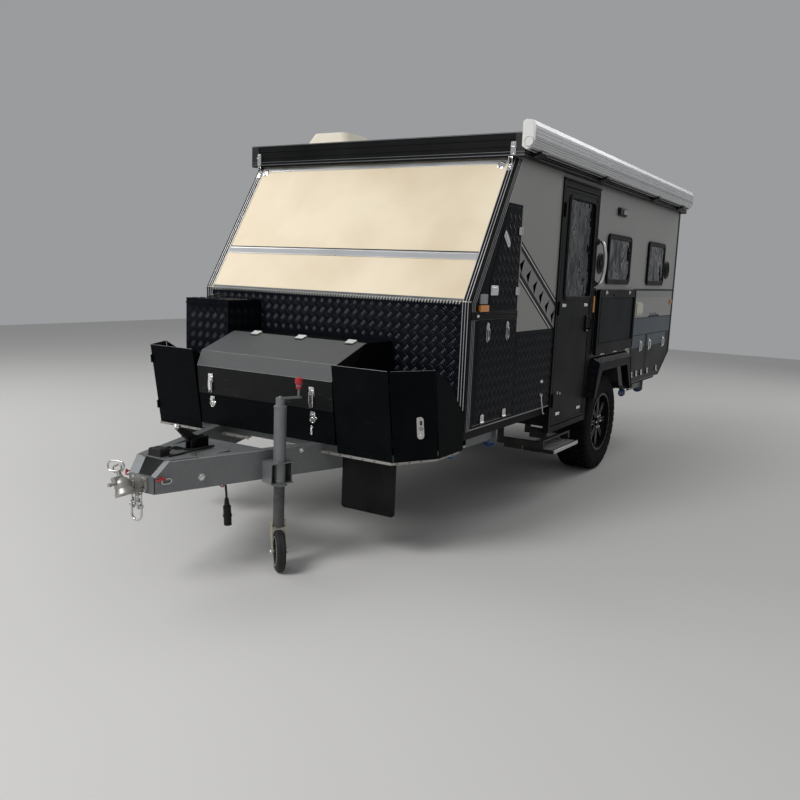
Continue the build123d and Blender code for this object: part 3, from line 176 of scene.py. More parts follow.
def makeFinish(name, color, tone, roughness, patch=(3.0, 0.25), grain=(), metallic=0.0, specular=0.5, coat=0.0,
               dust=0.0, transmission=0.0, ior=1.5, spangle=None, paintedTopLight=None, scratches=None, split=None, weave=None):
    material = bpy.data.materials.new(name)
    material.use_nodes = True
    tree = material.node_tree
    shader = tree.nodes["Principled BSDF"]
    place = addNode(tree, "ShaderNodeTexCoord").outputs["Object"]
    mask = placeGroup(tree, toneGroup, place, Scale=patch[0], Contrast=patch[1]).outputs["Mask"]
    strength, scale, depth = (*grain, *grainDefaults[len(grain):])
    color = mixColor(tree, mask, color, tone)
    if spangle:
        cells = placeGroup(tree, spangleGroup, place, Scale=spangle[0])
        color = mixColor(tree, cells.outputs["Mask"], color, spangle[1])
    # faces turned up are mixed toward the given colour: a painted top light standing in for the sky's reflection
    if paintedTopLight:
        facing = addNode(tree, "ShaderNodeSeparateXYZ", {0: addNode(tree, "ShaderNodeNewGeometry").outputs["Normal"]})
        color = mixColor(tree, mapRange(tree, facing.outputs["Z"], *paintedTopLight[1:]), color, paintedTopLight[0])
    if scratches:
        marks = placeGroup(tree, scratchGroup, place, Amount=scratches[0])
        color = mixColor(tree, marks.outputs["Mask"], color, scratches[1])
    if split:
        level, beyond, axis = split
        along = addNode(tree, "ShaderNodeSeparateXYZ", {0: place})
        color = mixColor(tree, mapRange(tree, along.outputs[axis], level, level + 0.001), color, beyond)
    if dust:
        color = mixColor(tree, placeGroup(tree, dustGroup, place, Amount=dust).outputs["Mask"], color, dustColor)
    if weave:
        height = placeGroup(tree, weaveGroup, place, Scale=weave[0]).outputs["Mask"]
        color = mixColor(tree, height, weave[1], color)
    else:
        height = placeGroup(tree, grainGroup, place, Scale=scale).outputs["Height"]
    tree.links.new(color, shader.inputs["Base Color"])
    tree.links.new(mapRange(tree, mask, 0, 1, *roughness), shader.inputs["Roughness"])
    for label, value in (("Metallic", metallic), ("Coat Weight", coat), ("Coat Roughness", 0.1),
                         ("Specular IOR Level", specular), ("Transmission Weight", transmission), ("IOR", ior)):
        shader.inputs[label].default_value = value
    bump = addNode(tree, "ShaderNodeBump", {"Strength": strength, "Distance": depth, "Height": height})
    tree.links.new(bump.outputs["Normal"], shader.inputs["Normal"])
    return material


# finish: slot of the pieces that wear it, colour, second tone, range of roughness, further values
steelCool = ((0.155, 0.166, 0.170), (0.185, 0.197, 0.201), (0.40, 0.54))
steelMore = dict(spangle=(60.0, (0.185, 0.196, 0.201)), metallic=0.45, dust=0.15, grain=(0.06, 120.0))
amber = ((0.72, 0.22, 0.015), (0.85, 0.32, 0.03), (0.12, 0.25))
lensMore = dict(coat=0.6, grain=(0.3, 250.0))
cast = ((0.34, 0.33, 0.31), (0.46, 0.45, 0.42))
looks = {
    "galvanised": ("galvanised_steel", *steelCool, steelMore),
    # chassis steel: galvanised ahead of y -1.60 and near-black behind it, a painted shade on the rails under the body
    "chassisSteelShadedUnderBody": (None, *steelCool, dict(steelMore, split=(-1.60, (0.010, 0.0105, 0.011), "Y"))),
    "tubeDark": ("black_trim", (0.028, 0.030, 0.031), (0.070, 0.074, 0.076), (0.32, 0.50),
                 dict(spangle=(90.0, (0.075, 0.078, 0.080)), metallic=0.45, dust=0.12, grain=(0.15, 120.0))),
    "zincYellow": (None, (0.40, 0.37, 0.27), (0.52, 0.48, 0.36), (0.34, 0.52),
                   dict(metallic=0.6, grain=(0.2, 160.0), dust=0.2)),
    # bright grey for edge lines: painted highlights along the guards' top edges and the toolbox lid's folds, also edge
    # wear
    "edgeWearAndHighlight": ("chrome_trim", (0.16, 0.165, 0.165), (0.30, 0.305, 0.30), (0.34, 0.5),
                 dict(patch=(14.0, 0.25), metallic=0.4, grain=(0.2,))),
    "powderBlack": ("black_steel", (0.0020, 0.0027, 0.0034), (0.0040, 0.0050, 0.0060), (0.42, 0.58),
                    dict(scratches=(0.20, (0.03, 0.03, 0.03)), dust=0.01, grain=(0.25, 900.0), specular=0.03)),
    # toolboxGrey: its up-facing faces are painted lighter grey, a painted sky reflection on the lid's top
    "toolboxGrey": (None, (0.0040, 0.0045, 0.0050), (0.0075, 0.0080, 0.0085), (0.36, 0.52),
                    dict(scratches=(0.22, (0.16, 0.16, 0.155)), dust=0.02, grain=(0.3, 900.0), specular=0.15,
                         paintedTopLight=((0.095, 0.099, 0.100), 0.20, 0.40))),
    "plateBlack": ("black_chequer", (0.0035, 0.0042, 0.0065), (0.0065, 0.0075, 0.0110), (0.18, 0.32),
                   dict(dust=0.01, grain=(0.12, 500.0), specular=0.03)),
    "barBlack": ("black_chequer", (0.0036, 0.0046, 0.0078), (0.0070, 0.0084, 0.0130), (0.10, 0.20),
                 dict(dust=0.01, grain=(0.10, 500.0), specular=0.12)),
    "wallGrey": (None, (0.290, 0.286, 0.274), (0.335, 0.330, 0.317), (0.34, 0.46),
                 dict(patch=(1.2, 0.25), dust=0.08, grain=(0.06, 40.0, 0.002), specular=0.3)),
    "panelCream": (None, (0.70, 0.585, 0.415), (0.78, 0.68, 0.51), (0.34, 0.50),
                   dict(patch=(2.2, 0.16), scratches=(0.10, (0.54, 0.46, 0.33)), metallic=0.10, dust=0.05,
                        grain=(0.10, 6.0, 0.004), specular=0.4)),
    "roofCream": ("roof_shell", (0.62, 0.56, 0.45), (0.70, 0.65, 0.54), (0.35, 0.5), dict(dust=0.3, grain=(0.1, 60.0))),
    "trimBlack": ("black_trim", (0.0045, 0.0048, 0.0052), (0.0085, 0.0088, 0.0092), (0.30, 0.46),
                  dict(dust=0.01, grain=(0.08, 700.0), specular=0.06)),
    "trimSilver": ("chrome_trim", (0.55, 0.55, 0.55), (0.68, 0.68, 0.67), (0.24, 0.38),
                   dict(metallic=0.85, grain=(0.06, 400.0))),
    "chrome": ("chrome_trim", (0.80, 0.80, 0.80), (0.88, 0.88, 0.87), (0.06, 0.16),
               dict(metallic=1.0, grain=(0.02, 60.0))),
    "brightSteel": ("chrome_trim", (0.60, 0.60, 0.59), (0.72, 0.71, 0.69), (0.18, 0.34),
                    dict(metallic=0.95, grain=(0.08,))),
    "castIron": (None, (0.17, 0.165, 0.155), (0.28, 0.275, 0.26), (0.45, 0.65),
                 dict(metallic=0.6, grain=(0.5, 220.0), dust=0.4)),
    "tyreRubber": ("tyre_rubber", (0.0055, 0.0060, 0.0068), (0.0100, 0.0104, 0.0110), (0.62, 0.85),
                   dict(dust=0.02, grain=(0.35, 600.0), specular=0.05)),
    "softRubber": ("black_rubber", (0.0070, 0.0070, 0.0072), (0.0140, 0.0140, 0.0140), (0.50, 0.70),
                   dict(dust=0.08, grain=(0.25, 500.0), specular=0.25)),
    "flapRubber": (None, (0.0024, 0.0028, 0.0034), (0.0045, 0.0050, 0.0056), (0.22, 0.42),
                   dict(patch=(6.0, 0.25), dust=0.02, grain=(0.15, 60.0), specular=0.14)),
    "wheelBlack": ("tyre_rubber", (0.0045, 0.0045, 0.0048), (0.0090, 0.0090, 0.0092), (0.22, 0.36),
                   dict(dust=0.02, grain=(0.05,), specular=0.09)),
    "plasticBlack": ("black_plastic", (0.0080, 0.0080, 0.0082), (0.0150, 0.0150, 0.0150), (0.42, 0.6),
                     dict(grain=(0.2, 700.0), dust=0.05, specular=0.25)),
    "plasticWhite": ("awning_white", (0.60, 0.60, 0.58), (0.68, 0.68, 0.66), (0.3, 0.45), dict(grain=(0.1, 400.0))),
    "awningWhite": ("awning_white", (0.60, 0.605, 0.61), (0.68, 0.685, 0.69), (0.28, 0.42),
                    dict(dust=0.12, grain=(0.05,), coat=0.3)),
    "awningGrey": ("chrome_trim", (0.30, 0.31, 0.32), (0.38, 0.39, 0.40), (0.35, 0.5), dict(grain=(0.08,))),
    "stepSilver": ("step_aluminium", (0.46, 0.46, 0.45), (0.58, 0.58, 0.57), (0.32, 0.5), dict(metallic=0.7, dust=0.3)),
    "tableGrey": ("black_trim", (0.010, 0.0125, 0.0145), (0.015, 0.0175, 0.0195), (0.4, 0.55),
                  dict(grain=(0.2,), specular=0.06)),
    "bandDark": ("black_trim", (0.014, 0.0145, 0.015), (0.022, 0.0225, 0.023), (0.34, 0.46),
                 dict(grain=(0.04,), specular=0.08)),
    "bandBlack": ("grey_wall", (0.0050, 0.0054, 0.0058), (0.0085, 0.0088, 0.0092), (0.3, 0.42),
                  dict(grain=(0.04,), specular=0.10)),
    "kneeGrey": ("chrome_trim", (0.075, 0.080, 0.085), (0.115, 0.120, 0.125), (0.3, 0.45),
                 dict(patch=(9.0, 0.25), metallic=0.3)),
    "bandWhite": ("grey_wall", (0.64, 0.64, 0.63), (0.72, 0.72, 0.71), (0.3, 0.42), dict(grain=(0.04,), specular=0.3)),
    "bandLight": ("grey_wall", (0.22, 0.22, 0.215), (0.26, 0.26, 0.255), (0.3, 0.42),
                  dict(grain=(0.04,), specular=0.3)),
    "bandBlue": ("grey_wall", (0.042, 0.062, 0.078), (0.066, 0.090, 0.108), (0.3, 0.42),
                 dict(patch=(5.0, 0.25), grain=(0.04,), specular=0.25)),
    "amberLens": ("amber_lens", *amber, lensMore),
    "lampLens": (None, *amber, dict(lensMore, split=(3.019, (0.42, 0.012, 0.010), "Y"))),
    "zincCast": ("galvanised_steel", *cast, (0.34, 0.52), dict(metallic=0.75, grain=(0.4, 220.0), dust=0.25)),
    "couplingBlack": (None, *cast, (0.36, 0.52),
                      dict(metallic=0.45, grain=(0.3, 220.0), split=(-2.70, (0.006, 0.006, 0.006), "Y"))),
    "inletCream": ("awning_white", (0.56, 0.54, 0.44), (0.64, 0.62, 0.52), (0.3, 0.45), dict(grain=(0.08, 400.0))),
    "redLens": ("amber_lens", (0.42, 0.012, 0.010), (0.55, 0.02, 0.016), (0.12, 0.25), lensMore),
    "greyLens": ("amber_lens", (0.20, 0.20, 0.20), (0.32, 0.32, 0.32), (0.2, 0.35), dict(lensMore, coat=0.5)),
    "knobRed": ("galvanised_steel", (0.30, 0.006, 0.016), (0.38, 0.012, 0.026), (0.25, 0.4),
                dict(coat=0.3, grain=(0.05,))),
    "footBlue": ("galvanised_steel", (0.02, 0.10, 0.32), (0.035, 0.16, 0.42), (0.35, 0.55), dict(dust=0.4)),
    "laminatePale": (None, (0.55, 0.53, 0.49), (0.62, 0.60, 0.56), (0.35, 0.5), dict(grain=(0.05,))),
    "laminateGrey": ("joinery", (0.26, 0.25, 0.23), (0.32, 0.31, 0.29), (0.30, 0.45), dict(grain=(0.05,))),
    "boardGrey": (None, (0.0080, 0.0082, 0.0085), (0.014, 0.014, 0.014), (0.5, 0.7),
                  dict(dust=0.04, grain=(0.15, 150.0), specular=0.1, split=(0.672, (0.030, 0.029, 0.028), "Z"))),
    "stepFrame": (None, (0.012, 0.0122, 0.0125), (0.020, 0.0202, 0.0205), (0.32, 0.5),
                  dict(metallic=0.4, dust=0.08, split=(0.7605, (0.46, 0.46, 0.45), "X"))),
    "mattressCloth": ("mattress_cloth", (0.42, 0.43, 0.45), (0.50, 0.51, 0.53), (0.8, 0.95),
                      dict(weave=(260.0, (0.25, 0.26, 0.28)), grain=(0.5, 0, 0.0008))),
    "canvasGrey": ("canvas", (0.24, 0.24, 0.23), (0.30, 0.30, 0.29), (0.75, 0.9),
                   dict(weave=(320.0, (0.14, 0.14, 0.135)), grain=(0.45, 0, 0.0006))),
    "windowTint": (None, (0.018, 0.020, 0.023), (0.030, 0.033, 0.037), (0.02, 0.06),
                   dict(patch=(4.0, 0.3), grain=(1.0, 4.0, 0.05), transmission=0.55, ior=1.48, specular=0.20)),
}
finishes = {name: makeFinish(name, *look[1:4], **look[4]) for name, look in looks.items()}
print("finishes made", len(finishes))

nodeFinishes = {
    "galvanised": "jockey_outer steady_front_left steady_front_right steady_rear_left steady_rear_right",
    "chassisSteelShadedUnderBody": "chassis_frame", "tubeDark": "jockey_inner", "zincYellow": "jockey_fork", "castIron": "suspension",
    "zincCast": "coupling_head", "couplingBlack": "coupling", "toolboxGrey": "toolbox_lid", "chrome": "grab_handle",
    "powderBlack": "toolbox stone_guard_left stone_guard_right guard_door_left guard_door_right",
    "brightSteel": "safety_chains",
    "plateBlack": "gas_box gas_box_lid front_wall boot_door_left boot_door_right upper_hatch_left upper_hatch_right "
                  "wheel_arches",
    "bandBlack": "middle_hatch rear_hatch_left rear_hatch_right", "panelCream": "front_slope",
    "wallGrey": "left_wall right_wall rear_wall", "roofCream": "roof_panel roof_vent",
    "trimBlack": "roof_trim door_frame window_frames door_leaf picnic_table", "windowTint": "window_panes door_glass",
    "boardGrey": "floor", "laminatePale": "partition furniture", "mattressCloth": "mattress",
    "canvasGrey": "canvas_skirt", "awningWhite": "awning", "tyreRubber": "tyre_left tyre_right",
    "wheelBlack": "rim_left rim_right", "softRubber": "plug_cord jockey_wheel", "flapRubber": "mud_flaps",
    "plasticBlack": "trailer_plug water_tanks", "stepFrame": "entry_step", "lampLens": "lamps",
}
for finish, names in nodeFinishes.items():
    for name in names.split():
        cadNodes[name].data.materials.clear()
        cadNodes[name].data.materials.append(finishes[finish])
print("CAD nodes finished", sum(len(names.split()) for names in nodeFinishes.values()))

# stage: pale floor, soft lamps
stage = {"floor": 14.0, "world": 0.36, "aim": (0, -0.4, 1.0), "lamps": (("keyLamp", (-1.5, -8.5, 6.5), 4.0, 510),
         ("fillLamp", (-6.5, -2.0, 5.5), 5.0, 160), ("backLamp", (3.0, 7.5, 6.0), 5.0, 160))}


def buildStage(look):
    bpy.ops.mesh.primitive_plane_add(size=2 * look["floor"], location=(0, 0, 0))
    floor = bpy.context.object
    floor.name = "studioFloor"
    material = bpy.data.materials.new("studioFloor")
    material.use_nodes = True
    shader = material.node_tree.nodes["Principled BSDF"]
    shader.inputs["Base Color"].default_value = (0.62, 0.61, 0.59, 1)
    shader.inputs["Roughness"].default_value = 0.8
    floor.data.materials.append(material)
    for name, place, size, watts in look["lamps"]:
        lampData = bpy.data.lights.new(name, "AREA")
        lampData.shape = "DISK"
        lampData.size = size
        lampData.energy = watts
        lamp = bpy.data.objects.new(name, lampData)
        bpy.context.scene.collection.objects.link(lamp)
        lamp.location = place
        lamp.rotation_euler = (Vector(look["aim"]) - Vector(place)).to_track_quat("-Z", "Y").to_euler()
    world = bpy.data.worlds.new("studio")
    bpy.context.scene.world = world
    world.use_nodes = True
    back = world.node_tree.nodes["Background"]
    back.inputs["Color"].default_value = (0.90, 0.92, 0.95, 1)
    back.inputs["Strength"].default_value = look["world"]
    bpy.context.scene.view_settings.view_transform = "Standard"


buildStage(stage)
print("stage built")


# shapes: each is a list of points and a list of faces
def boxShape(x0, x1, y0, y1, z0, z1):
    points = [at(x, y, z) for x in (x0, x1) for y in (y0, y1) for z in (z0, z1)]
    return points, [(0, 1, 3, 2), (4, 6, 7, 5), (0, 4, 5, 1), (2, 3, 7, 6), (0, 2, 6, 4), (1, 5, 7, 3)]


def joined(low, high):
    # closed shape between two rows with the same number of points
    count = len(low)
    faces = [tuple(range(count)), tuple(range(2 * count - 1, count - 1, -1))]
    faces += [(i, i + count, (i + 1) % count + count, (i + 1) % count) for i in range(count)]
    return [*low, *high], faces


def prismShape(outline, axis, start, end):
    order = {"x": lambda a, b, c: at(c, a, b), "y": lambda a, b, c: at(a, c, b), "z": lambda a, b, c: at(a, b, c)}[axis]
    return joined(*([order(a, b, level) for a, b in outline] for level in (start, end)))


def slabOn(corners, thick, outward):
    # plate over a flat outline of 3-D corners, thickened to the outward side
    normal = (corners[1] - corners[0]).cross(corners[2] - corners[0]).normalized()
    if normal.dot(outward) < 0:
        normal = -normal
    return joined(corners, [corner + normal * thick for corner in corners])


def crossAxes(direction):
    helper = Vector((0, 0, 1)) if abs(direction.z) < 0.9 else Vector((1, 0, 0))
    first = direction.cross(helper).normalized()
    return first, direction.cross(first).normalized()


def tubeShape(path, radius, count=10, closed=False):
    points, faces = [], []
    total = len(path)
    first = None
    for i, here in enumerate(path):
        before = path[i - 1] if i or closed else here
        after = path[(i + 1) % total] if i + 1 < total or closed else here
        direction = (after - before).normalized()
        if first is None:
            first, second = crossAxes(direction)
        else:
            first = (first - direction * first.dot(direction)).normalized()
            second = direction.cross(first)
        reach = radius[i] if isinstance(radius, (list, tuple)) else radius
        for k in range(count):
            turn = 2 * math.pi * k / count
            points.append(here + (first * math.cos(turn) + second * math.sin(turn)) * reach)
    for i in range(total if closed else total - 1):
        for k in range(count):
            a, b = i * count + k, i * count + (k + 1) % count
            c, d = (i + 1) % total * count + (k + 1) % count, (i + 1) % total * count + k
            faces.append((a, b, c, d))
    if not closed:
        faces.append(tuple(range(count)))
        faces.append(tuple(range(total * count - 1, (total - 1) * count - 1, -1)))
    return points, faces


def smoothPath(points, steps=6):
    # Catmull-Rom line through a short list of points
    line = []
    ends = [points[0], *points, points[-1]]
    for p0, p1, p2, p3 in zip(ends, ends[1:], ends[2:], ends[3:]):
        for k in range(steps):
            t = k / steps
            line.append(0.5 * (2 * p1 + (p2 - p0) * t + (2 * p0 - 5 * p1 + 4 * p2 - p3) * t * t
                               + (3 * p1 - p0 - 3 * p2 + p3) * t ** 3))
    return [*line, points[-1]]


def turnedShape(profile, centre, axis, count=32):
    # profile of (radius, height along the axis); a radius of 0 closes the end
    axis = axis.normalized()
    first, second = crossAxes(axis)
    closed = profile[0] == profile[-1]
    points, faces, rings = [], [], []
    for radius, height in profile[:-1] if closed else profile:
        if radius < 1e-6:
            rings.append([len(points)])
            points.append(centre + axis * height)
            continue
        ring = []
        for k in range(count):
            turn = 2 * math.pi * k / count
            ring.append(len(points))
            points.append(centre + axis * height + (first * math.cos(turn) + second * math.sin(turn)) * radius)
        rings.append(ring)
    for low, high in zip(rings, rings[1:] + rings[:1] if closed else rings[1:]):
        for k in range(count):
            quad = [low[k % len(low)], low[(k + 1) % len(low)], high[(k + 1) % len(high)], high[k % len(high)]]
            face = tuple(dict.fromkeys(quad))
            if len(face) > 2:
                faces.append(face)
    if len(rings[0]) > 1 and len(rings[-1]) > 1 and not closed:
        faces += [tuple(rings[0]), tuple(reversed(rings[-1]))]
    return points, faces


def ringShape(profile, centre, axis, count=32):
    # ring round an axis with the profile as its section
    return turnedShape([*profile, profile[0]], centre, axis, count)


def button(radius, step, topRadius, top):
    # profile of a low turned button
    return [(radius, 0), (radius, step), (topRadius, top), (0, top)]


def onSide(shapes, side):
    # shapes given for the left, mirrored for the right
    if side > 0:
        return shapes
    return [([Vector((-p.x, p.y, p.z)) for p in points], [tuple(reversed(face)) for face in faces])
            for points, faces in shapes]


def addPiece(name, shapes, finish, body="trailer", bevel=0.0, sharp=35, slot=None):
    mesh = bpy.data.meshes.new(name)
    build = bmesh.new()
    for points, faces in shapes:
        corners = [build.verts.new(point) for point in points]
        for face in faces:
            build.faces.new([corners[i] for i in face])
    bmesh.ops.recalc_face_normals(build, faces=build.faces)
    build.to_mesh(mesh)
    build.free()
    mesh.polygons.foreach_set("use_smooth", [True] * len(mesh.polygons))
    mesh.set_sharp_from_angle(angle=math.radians(sharp))
    mesh.materials.append(finishes[finish])
    piece = bpy.data.objects.new(name, mesh)
    bpy.context.scene.collection.objects.link(piece)
    if bevel:
        rounding = piece.modifiers.new("rounding", "BEVEL")
        rounding.width = bevel
        rounding.segments = 2
        rounding.limit_method = "ANGLE"
        rounding.angle_limit = math.radians(40)
    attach(piece, body)
    slot or looks[finish][0]
    return piece


# plug lead: the route repeats the CAD's points
plugLead = {"route": ((0, -0.855, 0.500), (0.002, -0.853, 0.455), (-0.001, -0.846, 0.405), (0.001, -0.838, 0.355),
                      (0, -0.833, 0.305)), "diameter": 0.012, "length": 0.196}


def buildPlugLead(look):
    curve = bpy.data.curves.new("plugLead", "CURVE")
    curve.dimensions = "3D"
    spline = curve.splines.new("NURBS")
    spline.points.add(len(look["route"]) - 1)
    for point, place in zip(spline.points, look["route"]):
        point.co = (*at(*place), 1)
    spline.order_u = 3
    spline.use_endpoint_u = True
    curve.bevel_depth = look["diameter"] / 2
    curve.bevel_resolution = 4
    curve.use_fill_caps = True
    curve.materials.append(finishes["softRubber"])
    lead = bpy.data.objects.new("plugLead", curve)
    bpy.context.scene.collection.objects.link(lead)
    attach(lead, "trailer")
    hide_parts("plug_cord")


buildPlugLead(plugLead)
print("plug lead laid")

# raised plate pattern: short lens bars laid in turn at right angles
plateBars = {"pitch": 0.0426, "group": 3, "spread": 0.0124, "long": 0.038, "wide": 0.0094, "high": 0.0025,
             "margin": 0.003}
barCorners = ((1, 0.42, 0), (0.78, 1, 0), (-0.78, 1, 0), (-1, 0.42, 0), (-1, -0.42, 0), (-0.78, -1, 0), (0.78, -1, 0),
              (1, -0.42, 0), (0.74, 0.22, 1), (-0.74, 0.22, 1), (-0.74, -0.22, 1), (0.74, -0.22, 1))
barFaces = ((0, 1, 8), (1, 2, 9, 8), (2, 3, 9), (3, 4, 10, 9), (4, 5, 10), (5, 6, 11, 10), (6, 7, 11), (7, 0, 8, 11),
            (8, 9, 10, 11), (7, 6, 5, 4, 3, 2, 1, 0))


def insideOutline(outline, a, b, margin):
    inside = False
    for (a0, b0), (a1, b1) in zip(outline, outline[1:] + outline[:1]):
        if (b0 > b) != (b1 > b) and a < (a1 - a0) * (b - b0) / (b1 - b0) + a0:
            inside = not inside
        run = (a1 - a0) ** 2 + (b1 - b0) ** 2
        share = max(0, min(1, ((a - a0) * (a1 - a0) + (b - b0) * (b1 - b0)) / run))
        if math.hypot(a - a0 - share * (a1 - a0), b - b0 - share * (b1 - b0)) < margin:
            return False
    return inside


def barPattern(outline, place, look=plateBars):
    # place(a, b, height) gives the point over the plate
    points, faces = [], []
    half, side, high = look["long"] / 2, look["wide"] / 2, look["high"]
    low = [min(p[i] for p in outline) for i in (0, 1)]
    top = [max(p[i] for p in outline) for i in (0, 1)]
    step = look["pitch"] * math.sqrt(0.5)
    for row in range(int((top[1] - low[1]) / step) + 2):
        turn = math.radians(45 if row % 2 else -45)
        along, across = (math.cos(turn), math.sin(turn)), (-math.sin(turn), math.cos(turn))
        for column in range(row % 2, int((top[0] - low[0]) / step) + 2, 2):
            for k in range(look["group"]):
                aside = (k - (look["group"] - 1) / 2) * look["spread"]
                a, b = low[0] + column * step + aside * across[0], low[1] + row * step + aside * across[1]
                ends = [(a + s * half * along[0], b + s * half * along[1]) for s in (1, -1)]
                if all(insideOutline(outline, *end, look["margin"]) for end in ends):
                    start = len(points)
                    points += [place(a + (s * half * along[0] + t * side * across[0]),
                                     b + (s * half * along[1] + t * side * across[1]), h * high)
                               for s, t, h in barCorners]
                    faces += [tuple(start + k for k in face) for face in barFaces]
    return points, faces


# body: its faces, the outlines of its leaves, and places on them; a place takes (a, b, height over the face)
bodyHalf = 0.970
frontSkirtZ, kneeZ = 0.670, 1.384
slopeRun, slopeRise = 510, 826
slopeDir = Vector((0, slopeRun, slopeRise)).normalized()
slopeOut = Vector((0, -slopeRise, slopeRun)).normalized()
upperLeaf = [(0.222, 1.342), (0.222, 1.489), (0.419, 1.918), (0.606, 1.918), (0.606, 1.342)]
bootLeaf = [(0.097, 0.705), (0.097, 1.275), (0.617, 1.275), (0.617, 0.705)]
middleLeaf = [(3.145, 0.700), (3.145, 1.055), (3.565, 1.055), (3.565, 0.700)]
rearLeaf = [(3.635, 0.700), (3.635, 1.055), (4.295, 1.055), (4.295, 0.8174), (4.0985, 0.700)]
rearWallY = 4.490


def wallPlace(side, out=0.0):
    return lambda a, b, h: at(side * (bodyHalf + out + h), a, b)


def rearPlace(a, b, h):
    return at(a, rearWallY + h, b)


def slopePlace(a, b, h):
    # a across, b up along the sloping panel from its foot
    return at(0, 0, kneeZ) + Vector((a, 0, 0)) + slopeDir * b + slopeOut * h


def rect(a0, a1, b0, b1):
    return [(a0, b0), (a1, b0), (a1, b1), (a0, b1)]


def rounded(a0, a1, b0, b1, radius, steps=4):
    outline = []
    for ca, cb, start in ((a1 - radius, b1 - radius, 0), (a0 + radius, b1 - radius, 90),
                          (a0 + radius, b0 + radius, 180), (a1 - radius, b0 + radius, 270)):
        for k in range(steps + 1):
            turn = math.radians(start + 90 * k / steps)
            outline.append((ca + radius * math.cos(turn), cb + radius * math.sin(turn)))
    return outline


def inset(box, margin, radius, steps=4):
    # rounded outline, margin inside a box of (a0, a1, b0, b1)
    a0, a1, b0, b1 = box
    return rounded(a0 + margin, a1 - margin, b0 + margin, b1 - margin, radius, steps)


def about(a, b, halfA, halfB, radius, steps=4):
    return rounded(a - halfA, a + halfA, b - halfB, b + halfB, radius, steps)


def circle(a, b, radius, count=20):
    turns = [2 * math.pi * k / count for k in range(count)]
    return [(a + radius * math.cos(turn), b + radius * math.sin(turn)) for turn in turns]


def wallPlates(side, outlines, out0, out1):
    low, high = sorted((side * (bodyHalf + out0), side * (bodyHalf + out1)))
    return [prismShape(outline, "x", low, high) for outline in outlines]


def plateOn(place, outline, low, high):
    return joined(*([place(a, b, level) for a, b in outline] for level in (low, high)))


def ringOn(place, outer, inner, low, high):
    # flat ring on a face between two outlines with the same number of points
    count = len(outer)
    points = [place(a, b, level) for level in (low, high) for line in (outer, inner) for a, b in line]
    faces = []
    for k in range(count):
        n = (k + 1) % count
        faces += [(k, n, n + count, k + count), (k + 2 * count, k + 3 * count, n + 3 * count, n + 2 * count),
                  (k, k + 2 * count, n + 2 * count, n), (k + count, n + count, n + 3 * count, k + 3 * count)]
    return points, faces


def loopOn(place, outline, out, radius, count=6):
    return tubeShape([place(a, b, out) for a, b in outline], radius, count, closed=True)


def disc(place, a, b, low, profile, count=28):
    centre = place(a, b, low)
    return turnedShape(profile, centre, (place(a, b, low + 0.01) - centre).normalized(), count)


def screwHead(place, a, b, low, radius=0.004):
    return disc(place, a, b, low, [(radius, 0), (radius, 0.0008), (radius * 0.7, 0.0022), (0, 0.0026)], 12)


# black plates and raised bars over the lower front and the noses of the side walls
plateThick = 0.0008
frontZone = [(-0.925, 0.680), (-0.860, 0.680), (-0.860, 1.145), (0.490, 1.145), (0.490, 0.680), (0.925, 0.680),
             (0.925, 1.360), (-0.925, 1.360)]
noseZone = [(0.055, 1.333), (0.211, 1.333), (0.211, 1.491), (0.411, 1.929), (0.617, 1.929), (0.617, 1.947),
            (0.402, 1.947), (0.055, 1.386)]
sidePlates = {"left": [(0.626, 0.672), (0.626, 1.200), (1.247, 1.200), (1.247, 0.672)],
              "right": [(0.626, 0.672), (0.626, 1.200), (2.000, 1.200), (2.000, 0.644), (1.250, 0.644), (1.250, 0.672)]}
noseEdges = [rect(0.052, 0.088, 0.672, 1.284), rect(0.088, 0.626, 0.672, 0.692)]
upperBars = [(0.230, 1.350), (0.230, 1.488), (0.424, 1.888), (0.600, 1.888), (0.600, 1.350)]
gasBox = {"x": (-0.850, -0.500), "y": (-0.300, -0.012), "z": (0.616, 1.284), "lidZ": (1.288, 1.322),
          "latch": (-0.700, -0.205)}


def buildPlates(look):
    addPiece("frontWallBars", [barPattern(frontZone, lambda a, b, h: at(a, -h, b))], "barBlack")
    for name, side in sides.items():
        plates = wallPlates(side, [sidePlates[name], noseZone, *noseEdges], 0, plateThick)
        addPiece(f"sidePlates_{name}", plates, "plateBlack")
        addPiece(f"sideBars_{name}", [barPattern(sidePlates[name], wallPlace(side, plateThick))], "barBlack")
        for label, leaf, body in (("bootDoorBars", bootLeaf, "boot_door"),
                                  ("upperHatchBars", upperBars, "upper_hatch")):
            addPiece(f"{label}_{name}", [barPattern(leaf, wallPlace(side, 0.002))], "barBlack", f"{body}_{name}")
    (x0, x1), (y0, y1), (z0, z1) = look["x"], look["y"], look["z"]
    faces = [barPattern(rect(x0, x1, z0, z1), lambda a, b, h: at(a, y0 - h, b))]
    faces += [barPattern(rect(y0, y1, z0, z1), lambda a, b, h, x=x, out=out: at(x + out * h, a, b))
              for x, out in ((x0, -1), (x1, 1))]
    addPiece("gasBoxBars", faces, "barBlack")
    lid = barPattern(rect(x0 + 0.008, x1 - 0.008, y0 + 0.008, y1 - 0.050),
                     lambda a, b, h: at(a, b, look["lidZ"][1] + h))
    addPiece("gasLidBars", [lid], "barBlack", "gas_box_lid")


buildPlates(gasBox)
print("black plates laid")

# ribbed corner and edge trims of the body; lines are the bright strips between the ribs
trims = {"corner": 0.050, "ribs": 3, "proud": 0.0035, "line": 0.0038, "slopeTop": 2.200, "slant": 1.18,
         "rail": rect(0.004, 0.616, 1.287, 1.331),
         "railRibs": (rect(0.004, 0.616, 1.298, 1.302), rect(0.004, 0.616, 1.318, 1.322)),
         "rear": (rect(4.450, 4.490, 0.852, 2.240), [(4.103, 0.642), (4.142, 0.642), (4.490, 0.850), (4.450, 0.852)])}


def edgeStrip(start, end, outward, toward, width, proud):
    # flat strip along two points, width to one side, proud of the face
    return slabOn([start, end, end + toward * width, start + toward * width], proud, outward)


